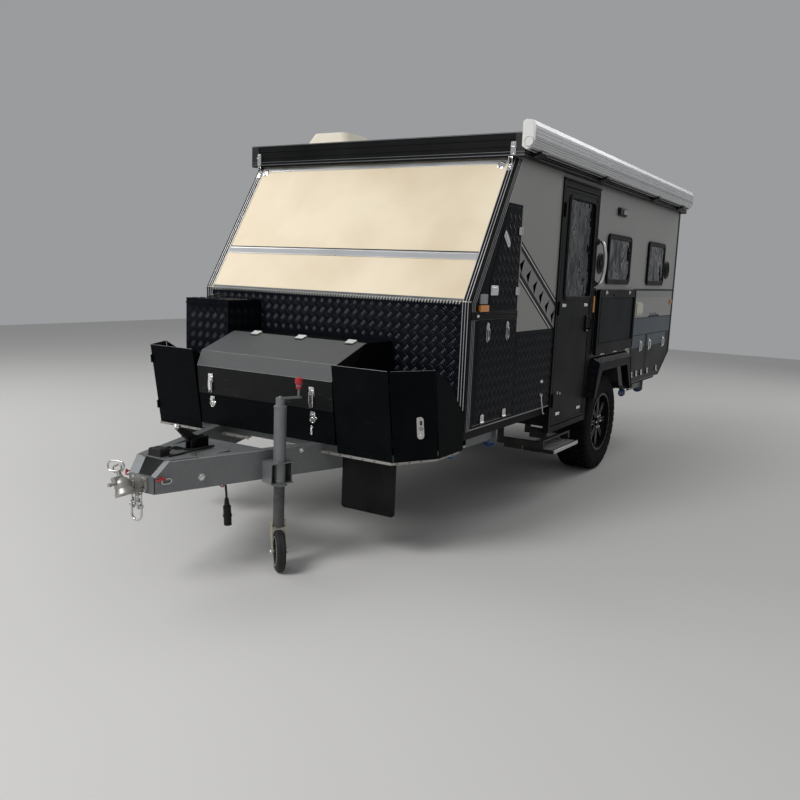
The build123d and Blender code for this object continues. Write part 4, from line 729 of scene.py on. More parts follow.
def buildTrims(look):
    wide, proud, slant = look["corner"] / look["ribs"] - 0.004, look["proud"], look["slant"]
    back = Vector((0, 1, 0))
    for name, side in sides.items():
        ribs, silver, grey = [], [], []
        out, inward = Vector((side, 0, 0)), Vector((-side, 0, 0))
        for rib in range(look["ribs"]):
            lead = rib * look["corner"] / look["ribs"]
            edge, x = side * bodyHalf, side * (bodyHalf - lead)
            foot, head = (at(edge, (z - kneeZ) * slopeRun / slopeRise + lead * slant, z)
                          for z in (kneeZ, look["slopeTop"]))
            low, high = slopePlace(x, 0.006, 0), slopePlace(x, (look["slopeTop"] - kneeZ) / slopeDir.z, 0)
            for start, end, outward, toward, width, lines, more in (
                    (at(edge, lead, frontSkirtZ), at(edge, lead, kneeZ), out, back, wide, grey, 0.0004),
                    (at(x, 0, frontSkirtZ), at(x, 0, kneeZ), -back, inward, wide, grey, 0.0004),
                    (foot, head, out, back, wide * slant, silver, 0.0006),
                    (low, high, slopeOut, inward, wide, silver, 0.0006)):
                ribs.append(edgeStrip(start, end, outward, toward, width, proud))
                step = toward * width
                lines.append(edgeStrip(start + step, end + step, outward, toward, look["line"], proud + more))
        addPiece(f"cornerTrim_{name}", ribs, "trimBlack", bevel=0.0012)
        addPiece(f"slopeTrimSilver_{name}", silver, "trimSilver")
        addPiece(f"cornerTrimLines_{name}", grey, "awningGrey")
        addPiece(f"skirtStrip_{name}", wallPlates(side, [rect(0.052, 1.246, 0.6722, 0.6790)], 0.0009, 0.0030),
                 "edgeWearAndHighlight")
        rail = wallPlates(side, [look["rail"]], 0.0005, 0.006) + wallPlates(side, look["railRibs"], 0.006, 0.0085)
        addPiece(f"noseRail_{name}", rail, "trimBlack", bevel=0.001)
        addPiece(f"rearTrim_{name}", wallPlates(side, look["rear"], 0, 0.004), "trimBlack", bevel=0.0015)


buildTrims(trims)

slopeLook = {"half": bodyHalf - 0.053, "lineZ": 1.652, "bandZ": (1.611, 1.642), "footTop": 1.400, "headFoot": 2.168,
             "studs": 94}


def buildSlope(look):
    half = look["half"]

    def strip(z0, z1, proud):
        b0, b1 = ((z - kneeZ) / slopeDir.z for z in (z0, z1))
        return slabOn([slopePlace(a, b, 0.0002) for a, b in rect(-half, half, b0, b1)], proud, slopeOut)
    low, high = look["bandZ"]
    silver = [strip(high, look["lineZ"] - 0.001, 0.0035), strip(low, low + 0.005, 0.0035),
              strip(look["headFoot"], look["headFoot"] + 0.030, 0.003)]
    addPiece("slopeBandGrey", [strip(low + 0.005, high, 0.0025)], "awningGrey", bevel=0.001)
    addPiece("slopeLinesSilver", silver, "trimSilver", bevel=0.001)
    addPiece("slopeLinesDark", [strip(look["lineZ"], look["lineZ"] + 0.006, 0.0015)], "bandDark")
    addPiece("kneeAngle", [strip(kneeZ + 0.002, look["footTop"], 0.0025)], "kneeGrey", bevel=0.0008)
    addPiece("kneeAngleFoot", [boxShape(-half - 0.04, half + 0.04, -0.0025, 0, 1.360, kneeZ)], "plateBlack",
             bevel=0.0008)
    studs = []
    for k in range(look["studs"]):
        a = -half + 0.012 + k * (2 * half - 0.024) / (look["studs"] - 1)
        line = [at(a + da, y, kneeZ + dz) for da, y, dz in
                ((-0.0055, -0.0045, -0.0135), (-0.0005, -0.0055, -0.0050), (0.0045, -0.0030, 0.0050))]
        studs.append(tubeShape(line, (0.0038, 0.0056, 0.0036), 6))
    addPiece("kneeAngleStuds", studs, "trimSilver")


buildSlope(slopeLook)
print("trims fitted")

# flat bands and marks on the side walls: slanted ones by drops below an upper line, the others by outlines
film = (0.0001, 0.0006)
slants = {"upper": ((0.628, 1.742), (1.246, 1.398)), "lower": ((0.628, 1.560), (1.246, 1.204)),
          "dark": ((0.026, 0.056), (0.0, 0.032)), "black": ((0.0, 0.015), (0.043, 0.057)),
          "white": ((0.016, 0.025), (0.033, 0.042)), "marks": (Vector((0.660, 1.606)), Vector((1.215, 1.290))),
          "mark": ((-0.040, -0.002), (0.034, 0.034), (0.010, -0.008), (-0.010, -0.058))}
rearBands = {"start": 3.100, "end": 4.448, "hatchBand": (0.948, 1.055), "low": [
    [(3.100, 0.644), (4.100, 0.644), (4.145, 0.671), (4.092, 0.671), (4.092, 0.688), (3.100, 0.688)],
    rect(3.100, 3.137, 0.689, 1.061), rect(3.575, 3.626, 0.689, 1.061),
    [(4.304, 0.812), (4.450, 0.900), (4.450, 1.061), (4.304, 1.061)],
    [(4.106, 0.690), (4.146, 0.672), (4.450, 0.853), (4.450, 0.898)]],
    "left": [[(2.003, 0.644), (2.006, 0.644), (2.086, 0.950), (2.086, 1.468), (2.003, 1.468)],
             rect(2.087, 3.078, 0.947, 0.960), rect(3.074, 3.099, 0.961, 1.468)],
    "right": [[(2.003, 0.644), (2.006, 0.644), (2.086, 0.948), (3.099, 0.948), (3.099, 1.205), (2.003, 1.205)],
              rect(3.137, 3.575, 0.689, 1.061)],
    "motif": [(3.18, 1.214), (3.60, 1.214), (3.66, 1.232), (3.96, 1.232), (4.02, 1.214), (4.448, 1.214), (4.448, 1.206),
              (3.18, 1.206)]}


def slanted(line, drop0, drop1):
    (a0, b0), (a1, b1) = line
    return [(a0, b0 - drop0), (a1, b1 - drop0), (a1, b1 - drop1), (a0, b0 - drop1)]


def buildBands(slant, rear):
    start, end = slant["marks"]
    marks = []
    for k in range(6):
        spot = start + (end - start) * (k / 5)
        marks.append([(spot.x + a, spot.y + b) for a, b in slant["mark"]])
    r0, r1 = rear["start"], rear["end"]
    steps = [[(a, 1.238), (a + 0.06, 1.238), (a + 0.045, 1.249), (a + 0.015, 1.249)]
             for a in (3.66, 3.66 + 0.09, 3.66 + 0.18)]
    blue = [(r0, 1.062), (3.138, 1.062), (4.302, 1.062), (r1, 1.062), (r1, 1.205), (r0, 1.205)]
    for name, side in sides.items():
        for label, key, finish, more in (("slantBandsDark", "dark", "bandDark", ()),
                                         ("slantMarksBlack", "black", "bandBlack", marks),
                                         ("slantLinesWhite", "white", "bandWhite", ())):
            bands = [slanted(slant[line], *drops) for line, drops in zip(("upper", "lower"), slant[key])]
            addPiece(f"{label}_{name}", wallPlates(side, [*bands, *more], *film), finish, slot="grey_wall")
        addPiece(f"slantFieldLight_{name}", wallPlates(side, [slanted(slant["upper"], 0.060, 0.176)], *film),
                 "bandLight")
        lines = wallPlates(side, [rect(r0, r1, 1.450, 1.468)], *film)
        lines += wallPlates(side, [rear["motif"]], 0.0007, 0.0012)
        addPiece(f"rearLinesBlack_{name}", lines + wallPlates(side, steps, *film), "bandBlack")
        addPiece(f"rearBandLight_{name}", wallPlates(side, [rect(r0, r1, 1.393, 1.449)], *film), "bandLight")
        addPiece(f"rearBandBlue_{name}", wallPlates(side, [blue], *film), "bandBlue")
        addPiece(f"rearBlack_{name}", wallPlates(side, rear["low"] + rear[name], *film), "bandBlack")
        for body, leaf in [("rear_hatch_" + name, rearLeaf)] + ([("middle_hatch", middleLeaf)] if side > 0 else []):
            ends = [a for a, b in leaf if b > 1.0]
            addPiece(f"{body}_band", wallPlates(side, [rect(min(ends), max(ends), *rear["hatchBand"])], 0.0020, 0.0026),
                     "bandBlue", body)


buildBands(slants, rearBands)
print("bands laid")

# bright leaf and sleeve over a hinge: along is "a" or "b", the way its pin runs
hatchHinge = {"half": 0.023, "strap": 0.040, "barrel": 0.0066, "screws": 0.014}


def hingesOver(place, spots, along, look=hatchHinge):
    shapes = []
    half, strap = look["half"], look["strap"]
    for a, b in spots:
        swap = (lambda p, q: (a + p, b + q)) if along == "a" else (lambda p, q: (a - q, b + p))
        leaf = [swap(p, q) for p, q in ((-half, 0.006), (half, 0.006), (half, strap), (half - 0.006, strap + 0.006),
                                        (0.006 - half, strap + 0.006), (-half, strap))]
        shapes.append(plateOn(place, leaf, 0.0063, 0.0085))
        shapes += [screwHead(place, *swap(share * look["screws"], strap - 0.012), 0.0085) for share in (-1, 1)]
        ends = [place(*swap(p, 0), 0.0063) for p in (-half, -half / 3, -half / 3, half / 3, half / 3, half)]
        for start, end in zip(ends[::2], ends[1::2]):
            trim = (end - start) * 0.02
            shapes.append(tubeShape([start + trim, end - trim], look["barrel"], 12))
    return shapes


def leverOutline(a, top, low, half):
    return [(a - half, top - half * 0.7), (a - half * 0.6, top), (a + half * 0.6, top), (a + half, top - half * 0.7),
            (a + half, low + half * 1.3), (a, low), (a - half, low + half * 1.3)]


# boot levers, paddle latches, hinges and grey reflectors at the nose
nose = {"levers": (0.220, 0.486), "leverZ": (1.266, 1.156), "leverHalf": 0.017, "latch": (0.232, 0.330, 1.421, 1.475),
        "tilted": (Vector((0.372, 1.776)), Vector((0.452, 1.700))), "bootHinges": ((0.200, 0.700), (0.500, 0.700)),
        "upperHinges": ((0.613, 1.445), (0.613, 1.796)), "reflector": (0.100, 0.192, 1.374, 1.428),
        "stop": (0.070, 1.309)}


def buildNoseFittings(look):
    for name, side in sides.items():
        face, wall = wallPlace(side, 0.002), wallPlace(side)
        boot, upper = f"boot_door_{name}", f"upper_hatch_{name}"
        levers, slots = [], []
        (top, low), half = look["leverZ"], look["leverHalf"]
        for a in look["levers"]:
            levers += [plateOn(face, leverOutline(a, top, low, half), 0, 0.004),
                       plateOn(face, leverOutline(a, top - 0.030, low + 0.008, half * 0.72), 0.004, 0.012),
                       disc(face, a, top - 0.014, 0.004, button(0.009, 0.004, 0.007, 0.006), 20)]
            slots.append(plateOn(face, rounded(a - 0.0055, a + 0.0055, low + 0.030, top - 0.040, 0.005), 0.0121,
                                 0.0127))
        addPiece(f"bootLevers_{name}", levers, "brightSteel", boot, bevel=0.0012)
        addPiece(f"bootLeverSlots_{name}", slots, "bandDark", boot)
        addPiece(f"bootHinges_{name}", hingesOver(wall, look["bootHinges"], "a"), "brightSteel", boot, bevel=0.0006)
        addPiece(f"upperHinges_{name}", hingesOver(wall, look["upperHinges"], "b"), "brightSteel", upper, bevel=0.0006)
        a0, a1, b0, b1 = look["latch"]
        start, end = look["tilted"]
        run = (end - start).normalized()
        rise = Vector((-run.y, run.x)) * 0.019
        middle = (start + end) / 2
        blade = [start + rise, start + run * 0.02 + rise * 1.3, end - run * 0.012 + rise, end, end - run * 0.012 - rise,
                 start + run * 0.01 - rise]
        paddle = [plateOn(face, inset(look["latch"], 0, 0.008), 0, 0.0035),
                  plateOn(face, rounded(a0 + 0.010, a1 - 0.030, b0 + 0.009, b1 - 0.009, 0.006), 0.0035, 0.0085),
                  disc(face, a1 - 0.016, (b0 + b1) / 2, 0.0035, button(0.009, 0.003, 0.0065, 0.005), 20),
                  plateOn(face, blade, 0, 0.004),
                  plateOn(face, [middle + (p - middle) * 0.62 for p in blade], 0.004, 0.010)]
        addPiece(f"upperLatches_{name}", paddle, "chrome", upper, bevel=0.0012)
        a0, a1, b0, b1 = look["reflector"]
        lens = [plateOn(wall, inset(look["reflector"], 0, 0.006), 0.0009, 0.008)]
        for k in range(5):
            b = b0 + 0.010 + 0.008 * k
            lens.append(plateOn(wall, rect(a0 + 0.006, a1 - 0.006, b, b + 0.002), 0.008, 0.0092))
        addPiece(f"greyReflector_{name}", lens, "greyLens", bevel=0.001)
        stop = [(0.010, 0), (0.010, 0.004), (0.007, 0.009), (0, 0.010)]
        addPiece(f"noseStop_{name}", [disc(wall, *look["stop"], 0.0085, stop, 20)], "chrome")


buildNoseFittings(nose)

# seals round the hatch leaves, in the gap between leaf and wall, and dark edging on the wall round it
hatchSeal = {"radius": 0.0016, "grow": 0.0005, "edging": (0.0105, 0.0034), "middleEdging": (0.0095, 0.0034),
             "high": (0.0001, 0.0002)}


def grown(outline, margin):
    # outline moved outwards by a margin at each corner
    moved = []
    count = len(outline)
    area = sum(outline[i][0] * outline[(i + 1) % count][1] - outline[(i + 1) % count][0] * outline[i][1]
               for i in range(count))
    turn = 1 if area > 0 else -1
    for i, corner in enumerate(outline):
        before, here, after = Vector(outline[i - 1]), Vector(corner), Vector(outline[(i + 1) % count])
        first, second = (here - before).normalized(), (after - here).normalized()
        out1, out2 = Vector((first.y, -first.x)) * turn, Vector((second.y, -second.x)) * turn
        moved.append(tuple(here + (out1 + out2) / (1 + out1.dot(out2)) * margin))
    return moved


def buildSeals(look):
    def seal(side, leaf):
        return [loopOn(wallPlace(side, 0.0008), grown(leaf, look["grow"]), 0, look["radius"])]

    def edging(side, leaf, margins):
        return ringOn(wallPlace(side), *(grown(leaf, margin) for margin in margins), *look["high"])
    for name, side in sides.items():
        for leaf, body in ((upperLeaf, "upper_hatch_"), (bootLeaf, "boot_door_"), (rearLeaf, "rear_hatch_")):
            addPiece(f"seal_{body}{name}", seal(side, leaf), "softRubber", body + name)
        edges = [edging(side, leaf, look["edging"]) for leaf in (upperLeaf, bootLeaf, rearLeaf)]
        addPiece(f"hatchEdging_{name}", edges, "plateBlack", slot="black_trim")
    addPiece("middleHatchEdging", [edging(1, middleLeaf, look["middleEdging"])], "plateBlack", slot="black_trim")
    addPiece("seal_middle_hatch", seal(1, middleLeaf), "softRubber", "middle_hatch")


buildSeals(hatchSeal)
print("nose fittings and seals fitted")

# joinery: galley doors, drawers and worktop edge, and the bed's front panels
joinery = {"x": -0.460, "y": (1.300, 2.050), "z": (0.770, 1.520), "top": 1.560, "reveal": 0.006, "bedY": 3.110,
           "bedZ": (0.700, 1.060), "half": 0.930, "panel": 0.56, "pitch": 0.62}


def buildJoinery(look):
    def face(a, b, h):
        return at(look["x"] + h, a, b)

    def bed(a, b, h):
        return at(a, look["bedY"] - h, b)
    (y0, y1), (z0, z1) = look["y"], look["z"]
    gap, third, low = look["reveal"], (y1 - y0) / 3, z0 + 0.58 * (z1 - z0)
    shelf = (low + z1) / 2
    leaves = [(y0 + gap, y0 + 2 * third - gap, z0 + gap, low - gap),
              (y0 + 2 * third + gap, y1 - gap, z0 + gap, low - gap), (y0 + gap, y1 - gap, low + gap, shelf - gap / 2),
              (y0 + gap, y1 - gap, shelf + gap / 2, z1 - gap)]
    fronts = [plateOn(face, inset(leaf, 0, 0.008), 0.0002, 0.014) for leaf in leaves]
    addPiece("galleyFronts", fronts, "laminateGrey", bevel=0.002)
    pulls = []
    for a0, a1, b0, b1 in leaves:
        middle = (a0 + a1) / 2
        path = [face(middle + a, b1 - 0.030, h)
                for a, h in ((-0.055, 0.014), (-0.052, 0.030), (0.052, 0.030), (0.055, 0.014))]
        pulls.append(tubeShape(smoothPath(path, 4), 0.0042, 10))
    addPiece("galleyPulls", pulls, "brightSteel")
    edge = boxShape(look["x"] - 0.004, look["x"] + 0.010, y0 + 0.001, y1 - 0.001, look["top"] - 0.016,
                    look["top"] + 0.0015)
    addPiece("galleyEdge", [edge], "plasticBlack", bevel=0.003)
    (b0, b1), start = look["bedZ"], 0.05 - look["half"]
    starts = [start + k * look["pitch"] for k in range(3)]
    panels = [plateOn(bed, rounded(a, a + look["panel"], b0 + 0.02, b1 - 0.02, 0.010), 0.0002, 0.010) for a in starts]
    addPiece("bedFronts", panels, "laminateGrey", bevel=0.002)
    catches = [disc(bed, a + look["panel"] / 2, b1 - 0.050, 0.010, button(0.012, 0.003, 0.008, 0.006), 20)
               for a in starts]
    addPiece("bedCatches", catches, "chrome")


buildJoinery(joinery)

# entry door: pressed edge, pane ring, clips, lock and catch, with the rim and drip strip of its frame
door = {"leaf": (1.293, 1.957, 0.523, 2.127), "face": 0.004, "edge": 0.020, "pane": (1.400, 1.915, 1.405, 2.070),
        "paneCorner": 0.040, "clips": ((1.400, 1.349), (1.846, 1.347), (1.414, 0.599), (1.838, 0.593)),
        "lock": (1.868, 1.925, 1.150, 1.270), "catch": (1.392, 0.746), "frame": (1.252, 1.998, 0.482, 2.168)}


def buildDoor(look):
    face, lock = wallPlace(1, look["face"]), wallPlace(1, look["face"] + 0.008)
    body, pane, corner, edge = "main_door", look["pane"], look["paneCorner"], look["edge"]
    rims = [ringOn(face, inset(look["leaf"], 0.002, 0.010), inset(look["leaf"], edge, 0.014), 0, 0.0035),
            ringOn(face, inset(pane, -0.026, corner + 0.02), inset(pane, 0.004, corner - 0.004), 0, 0.006),
            ringOn(face, inset(pane, -0.012, corner + 0.01), inset(pane, 0.002, corner - 0.002), 0.006, 0.0085)]
    addPiece("doorRims", rims, "trimBlack", body, bevel=0.0012)
    addPiece("doorPaneGasket", [loopOn(wallPlace(1, -0.011), inset(pane, 0.005, 0.035, 6), 0, 0.0042, 8)], "softRubber",
             body)
    clips = []
    for a, b in look["clips"]:
        clips.append(plateOn(face, about(a, b, 0.036, 0.0105, 0.003), 0.0001, 0.005))
        clips += [screwHead(face, a + step, b, 0.005, 0.0035) for step in (-0.024, 0.024)]
    addPiece("doorClips", clips, "chrome", body, bevel=0.0008)
    bezel = ringOn(lock, inset(look["lock"], 0, 0.008), inset(look["lock"], 0.005, 0.006), 0, 0.003)
    addPiece("lockBezel", [bezel], "plasticBlack", body, bevel=0.001)
    a0, a1, b0 = look["lock"][:3]
    middle = (a0 + a1) / 2
    barrel = [disc(lock, middle, b0 + 0.014, 0, button(0.008, 0.004, 0.006, 0.005), 20),
              plateOn(lock, rect(middle - 0.001, middle + 0.001, b0 + 0.009, b0 + 0.019), 0.005, 0.0056)]
    addPiece("lockBarrel", barrel, "chrome", body)
    catch = [(0.011, 0), (0.011, 0.003), (0.006, 0.006), (0.005, 0.018), (0.008, 0.021), (0, 0.023)]
    addPiece("doorCatch", [disc(face, *look["catch"], 0, catch, 18)], "chrome", body)
    rim = ringOn(wallPlace(1, 0.008), inset(look["frame"], 0, 0.012), inset(look["frame"], 0.010, 0.010), 0, 0.002)
    addPiece("doorFrameRim", [rim], "trimBlack", bevel=0.0008)
    addPiece("doorDrip", [plateOn(wallPlace(1), rect(1.246, 2.004, 2.172, 2.184), 0.0002, 0.016)], "trimBlack",
             bevel=0.002)


buildDoor(door)

# hanging hold-back hook in front of the door
holdBack = {"eye": (1.083, 0.855), "pin": (1.083, 0.765), "foot": (1.128, 0.634)}


def buildHoldBack(look):
    face = wallPlace(1, 0.0008)
    (pa, pb), (fa, fb) = look["pin"], look["foot"]
    path = [(pa, pb - 0.004, 0.010), (pa + 0.004, pb - 0.03, 0.010), ((pa + fa) / 2 - 0.006, (pb + fb) / 2, 0.011),
            (fa - 0.006, fb + 0.010, 0.011), (fa, fb, 0.013), (fa + 0.010, fb + 0.002, 0.015)]
    shapes = [disc(face, *look["eye"], 0, [(0.013, 0), (0.013, 0.004), (0.009, 0.012), (0, 0.015)], 20),
              disc(face, pa, pb, 0, [(0.010, 0), (0.010, 0.003), (0.005, 0.004), (0.005, 0.012), (0.008, 0.014),
                                     (0, 0.015)], 18),
              tubeShape([face(*spot) for spot in path], 0.0032, 8)]
    addPiece("holdBackHook", shapes, "chrome")


buildHoldBack(holdBack)

# grab handle beside the door: a bowed tube with padded ends
grab = {"y": 2.042, "ends": (1.502, 1.808), "out": 0.064, "radius": 0.0135, "steps": 24}


def buildGrab(look):
    low, high = look["ends"]
    middle, half, steps = (low + high) / 2, (high - low) / 2, look["steps"]
    path = []
    for k in range(steps + 1):
        turn = math.pi * k / steps
        share = math.sin(turn) ** 0.55 if 0 < k < steps else 0
        path.append(at(bodyHalf + 0.002 + (look["out"] - 0.004) * share, look["y"], middle - half * math.cos(turn)))
    radii = [look["radius"] * (0.85 + 0.15 * min(1, k / 4, (steps - k) / 4)) for k in range(steps + 1)]
    bar = addPiece("grabBar", [tubeShape(path, radii, 14)], "chrome")
    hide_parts("grab_handle")
    foot = [(0.024, 0), (0.024, 0.004), (0.017, 0.010), (0.0125, 0.013), (0.0125, 0.016)]
    addPiece("grabFeet", [disc(wallPlace(1), look["y"], b, 0.0002, foot, 24) for b in (low, high)], "plasticBlack")
    addPiece("grabGrip", [tubeShape(path[8:17], look["radius"] * 1.09, 14)], "brightSteel")


buildGrab(grab)

# round speakers in the side wall
speakers = {"places": ((2.118, 1.652, 0.078), (4.122, 1.648, 0.085)), "rings": 5, "spokes": 12}


def buildSpeakers(look):
    wall = wallPlace(1)
    bodies, grille = [], []
    for a, b, radius in look["places"]:
        profile = [(radius, 0.0002), (radius, 0.006), (radius - 0.005, 0.011), (radius - 0.013, 0.010),
                   (radius - 0.016, 0.005), (0.020, 0.004), (0.016, 0.010), (0.008, 0.013), (0, 0.0135)]
        bodies.append(disc(wall, a, b, 0, profile, 36))
        for k in range(look["rings"]):
            ring = radius - 0.020 - k * (radius - 0.042) / (look["rings"] - 1)
            grille.append(loopOn(wall, circle(a, b, ring, 36), 0.0095, 0.0014))
        for (p, q), (s, t) in zip(circle(a, b, 0.018, look["spokes"]), circle(a, b, radius - 0.012, look["spokes"])):
            grille.append(tubeShape([wall(p, q, 0.0085), wall(s, t, 0.0085)], 0.0013, 5))
    addPiece("speakers", bodies, "plasticBlack")
    addPiece("speakerGrilles", grille, "trimBlack", slot="black_plastic")


buildSpeakers(speakers)
print("door, handle and speakers fitted")

# windows: raised rims, gasket, folded blind behind the pane and catches
windows = {"z": (1.500, 1.885), "ys": ((2.260, 2.880), (3.410, 3.990)), "rear": (-0.380, 0.380), "edge": 0.038,
           "proud": 0.014}


def buildWindows(look):
    z0, z1 = look["z"]
    proud, edge = look["proud"], look["edge"]
    spots = [(f"{name}_{index}", wallPlace(side), ys) for name, side in sides.items()
             for index, ys in enumerate(look["ys"])]
    for label, place, (a0, a1) in [*spots, ("rear_0", rearPlace, look["rear"])]:
        box = (a0, a1, z0, z1)
        ridge = [ringOn(place, inset(box, 0.006, 0.046, 6), inset(box, 0.013, 0.040, 6), proud, proud + 0.0025),
                 ringOn(place, inset(box, 0.026, 0.034, 6), inset(box, edge, 0.028, 6), proud, proud + 0.0015)]
        addPiece(f"windowRidge_{label}", ridge, "trimBlack", bevel=0.0008)
        addPiece(f"windowGasket_{label}", [loopOn(place, inset(box, edge + 0.001, 0.028, 6), 0.0105, 0.0022)],
                 "softRubber")
        rail = plateOn(place, rect(a0 + edge + 0.004, a1 - edge - 0.004, z1 - 0.062, z1 - 0.045), -0.010, -0.004)
        addPiece(f"blindRail_{label}", [rail], "plasticWhite", bevel=0.002, slot="joinery")
        pleats = [plateOn(place, rect(a0 + edge + 0.006, a1 - edge - 0.006, low, low + 0.003), -0.012, -0.007)
                  for low in (z1 - 0.068 - 0.0045 * k for k in range(4))]
        addPiece(f"blindPleats_{label}", pleats, "canvasGrey")
        catches = [plateOn(place, rounded(a - 0.020, a + 0.020, z0 + edge + 0.006, z0 + edge + 0.022, 0.005), -0.008,
                           -0.001)
                   for a in (a0 + 0.16, a1 - 0.16)]
        addPiece(f"windowCatches_{label}", catches, "plasticBlack", bevel=0.001)


buildWindows(windows)

# tail lamps: black bezel, red, amber and clear lenses with raised ribs
tailLamps = {"box": (0.760, 0.900, 0.980, 1.260), "y": 4.514, "rib": 0.010,
             "lenses": (("red", 0.152, 0.262, "redLens"), ("amber", 0.078, 0.144, "amberLens"),
                        ("clear", 0.018, 0.070, "greyLens"))}


def buildTailLamps(look):
    x0, x1, z0 = look["box"][:3]
    for name, side in sides.items():
        def place(a, b, h):
            return at(side * a, look["y"] + h, b)
        bezel = ringOn(place, inset(look["box"], -0.004, 0.024, 5), inset(look["box"], 0.012, 0.014, 5), -0.010, 0.004)
        addPiece(f"tailLampBezel_{name}", [bezel], "plasticBlack", bevel=0.0015)
        for lens, low, high, finish in look["lenses"]:
            shapes = [plateOn(place, rounded(x0 + 0.016, x1 - 0.016, z0 + low, z0 + high, 0.010, 5), 0.0001, 0.005)]
            for k in range(1, int((high - low) / look["rib"])):
                b = z0 + low + k * look["rib"]
                shapes.append(tubeShape([place(x, b, 0.0048) for x in (x0 + 0.024, x1 - 0.024)], 0.0016, 6))
            addPiece(f"tailLens_{lens}_{name}", shapes, finish)


buildTailLamps(tailLamps)

# low black plate and ribbed corner trims of the rear wall
rearEnd = {"plate": rect(-0.915, 0.915, 0.858, 1.061), "trim": (0.918, 0.966), "trimZ": (0.856, 2.200), "ribs": 3}


def buildRearEnd(look):
    addPiece("rearPlate", [plateOn(rearPlace, look["plate"], *film)], "bandBlack")
    inner, outer = look["trim"]
    ribs = []
    for side in (1, -1):
        for k in range(look["ribs"]):
            start = inner + k * (outer - inner) / look["ribs"]
            span = sorted((side * start, side * (start + (outer - inner) / look["ribs"] - 0.003)))
            ribs.append(plateOn(rearPlace, rect(*span, *look["trimZ"]), 0.0001, 0.0035))
    addPiece("rearCornerTrims", ribs, "trimBlack", bevel=0.001)


buildRearEnd(rearEnd)

# lamp above the table, power inlet, long hatch handles and bright hinges at the rear
rearSide = {"lamp": (2.566, 2.065), "inlet": (3.150, 3.372, 1.232, 1.356), "handleZ": (0.905, 1.012),
            "handles": ((3.412, 1, "middle_hatch"), (3.706, 1, "rear_hatch_left"), (4.202, 1, "rear_hatch_left"),
                        (3.706, -1, "rear_hatch_right"), (4.202, -1, "rear_hatch_right")),
            "hinges": (("middleHatchHinges", 1, "middle_hatch", (3.200, 3.350, 3.510)),
                       ("rearHatchHinges_left", 1, "rear_hatch_left", (3.710, 4.030)),
                       ("rearHatchHinges_right", -1, "rear_hatch_right", (3.710, 4.030)))}


def longHandle(face, a, low, high):
    path = [(low + 0.014, 0.003), (low + 0.020, 0.014), ((low + high) / 2, 0.018), (high - 0.020, 0.014),
            (high - 0.014, 0.003)]
    return [plateOn(face, rounded(a - 0.011, a + 0.011, low, high, 0.006), 0, 0.003),
            tubeShape([face(a, b, h) for b, h in path], 0.0052, 10),
            *(screwHead(face, a, b, 0.003, 0.0032) for b in (low + 0.006, high - 0.006))]


def buildRearSide(look):
    wall = wallPlace(1)
    a, b = look["lamp"]
    base = [plateOn(wall, rounded(a - 0.112, a + 0.112, b - 0.034, b + 0.030, 0.022, 6), 0.0002, 0.012),
            plateOn(wall, rounded(a - 0.095, a + 0.095, b - 0.026, b + 0.024, 0.018, 6), 0.012, 0.022)]
    addPiece("outsideLampBase", base, "plasticBlack", bevel=0.003)
    lens = plateOn(wall, rounded(a - 0.020, a + 0.084, b - 0.019, b + 0.017, 0.012, 6), 0.022, 0.0265)
    addPiece("outsideLampLens", [lens], "greyLens", bevel=0.0015)
    a0, a1, b0, b1 = look["inlet"]
    inlet = [plateOn(wall, inset(look["inlet"], 0, 0.045, 6), 0.0002, 0.010),
             plateOn(wall, rounded(a0 + 0.014, a1 - 0.014, b0 + 0.012, b1 - 0.012, 0.038, 6), 0.010, 0.020),
             disc(wall, (a0 + a1) / 2, b0 + 0.020, 0.020, button(0.012, 0.003, 0.009, 0.005), 20)]
    addPiece("powerInlet", inlet, "inletCream", bevel=0.003)
    hinge = tubeShape([wall(a, b1 - 0.004, 0.012) for a in (a0 + 0.045, a1 - 0.045)], 0.004, 10)
    addPiece("powerInletHinge", [hinge], "inletCream")
    for index, (a, side, body) in enumerate(look["handles"]):
        addPiece(f"hatchHandle_{index}", longHandle(wallPlace(side, 0.0026), a, *look["handleZ"]), "chrome", body,
                 bevel=0.0008)
    for name, side, body, spots in look["hinges"]:
        addPiece(name, hingesOver(wallPlace(side), [(a, 0.695) for a in spots], "a"), "brightSteel", body, bevel=0.0006)


buildRearSide(rearSide)

# drop-down table: rimmed frame, recessed sheet, round catches, lip and hinges
table = {"box": (2.090, 3.070, 0.962, 1.460), "x": 0.0263, "catches": ((2.252, 1.437), (2.868, 1.437)),
         "hinges": (2.25, 2.58, 2.91)}


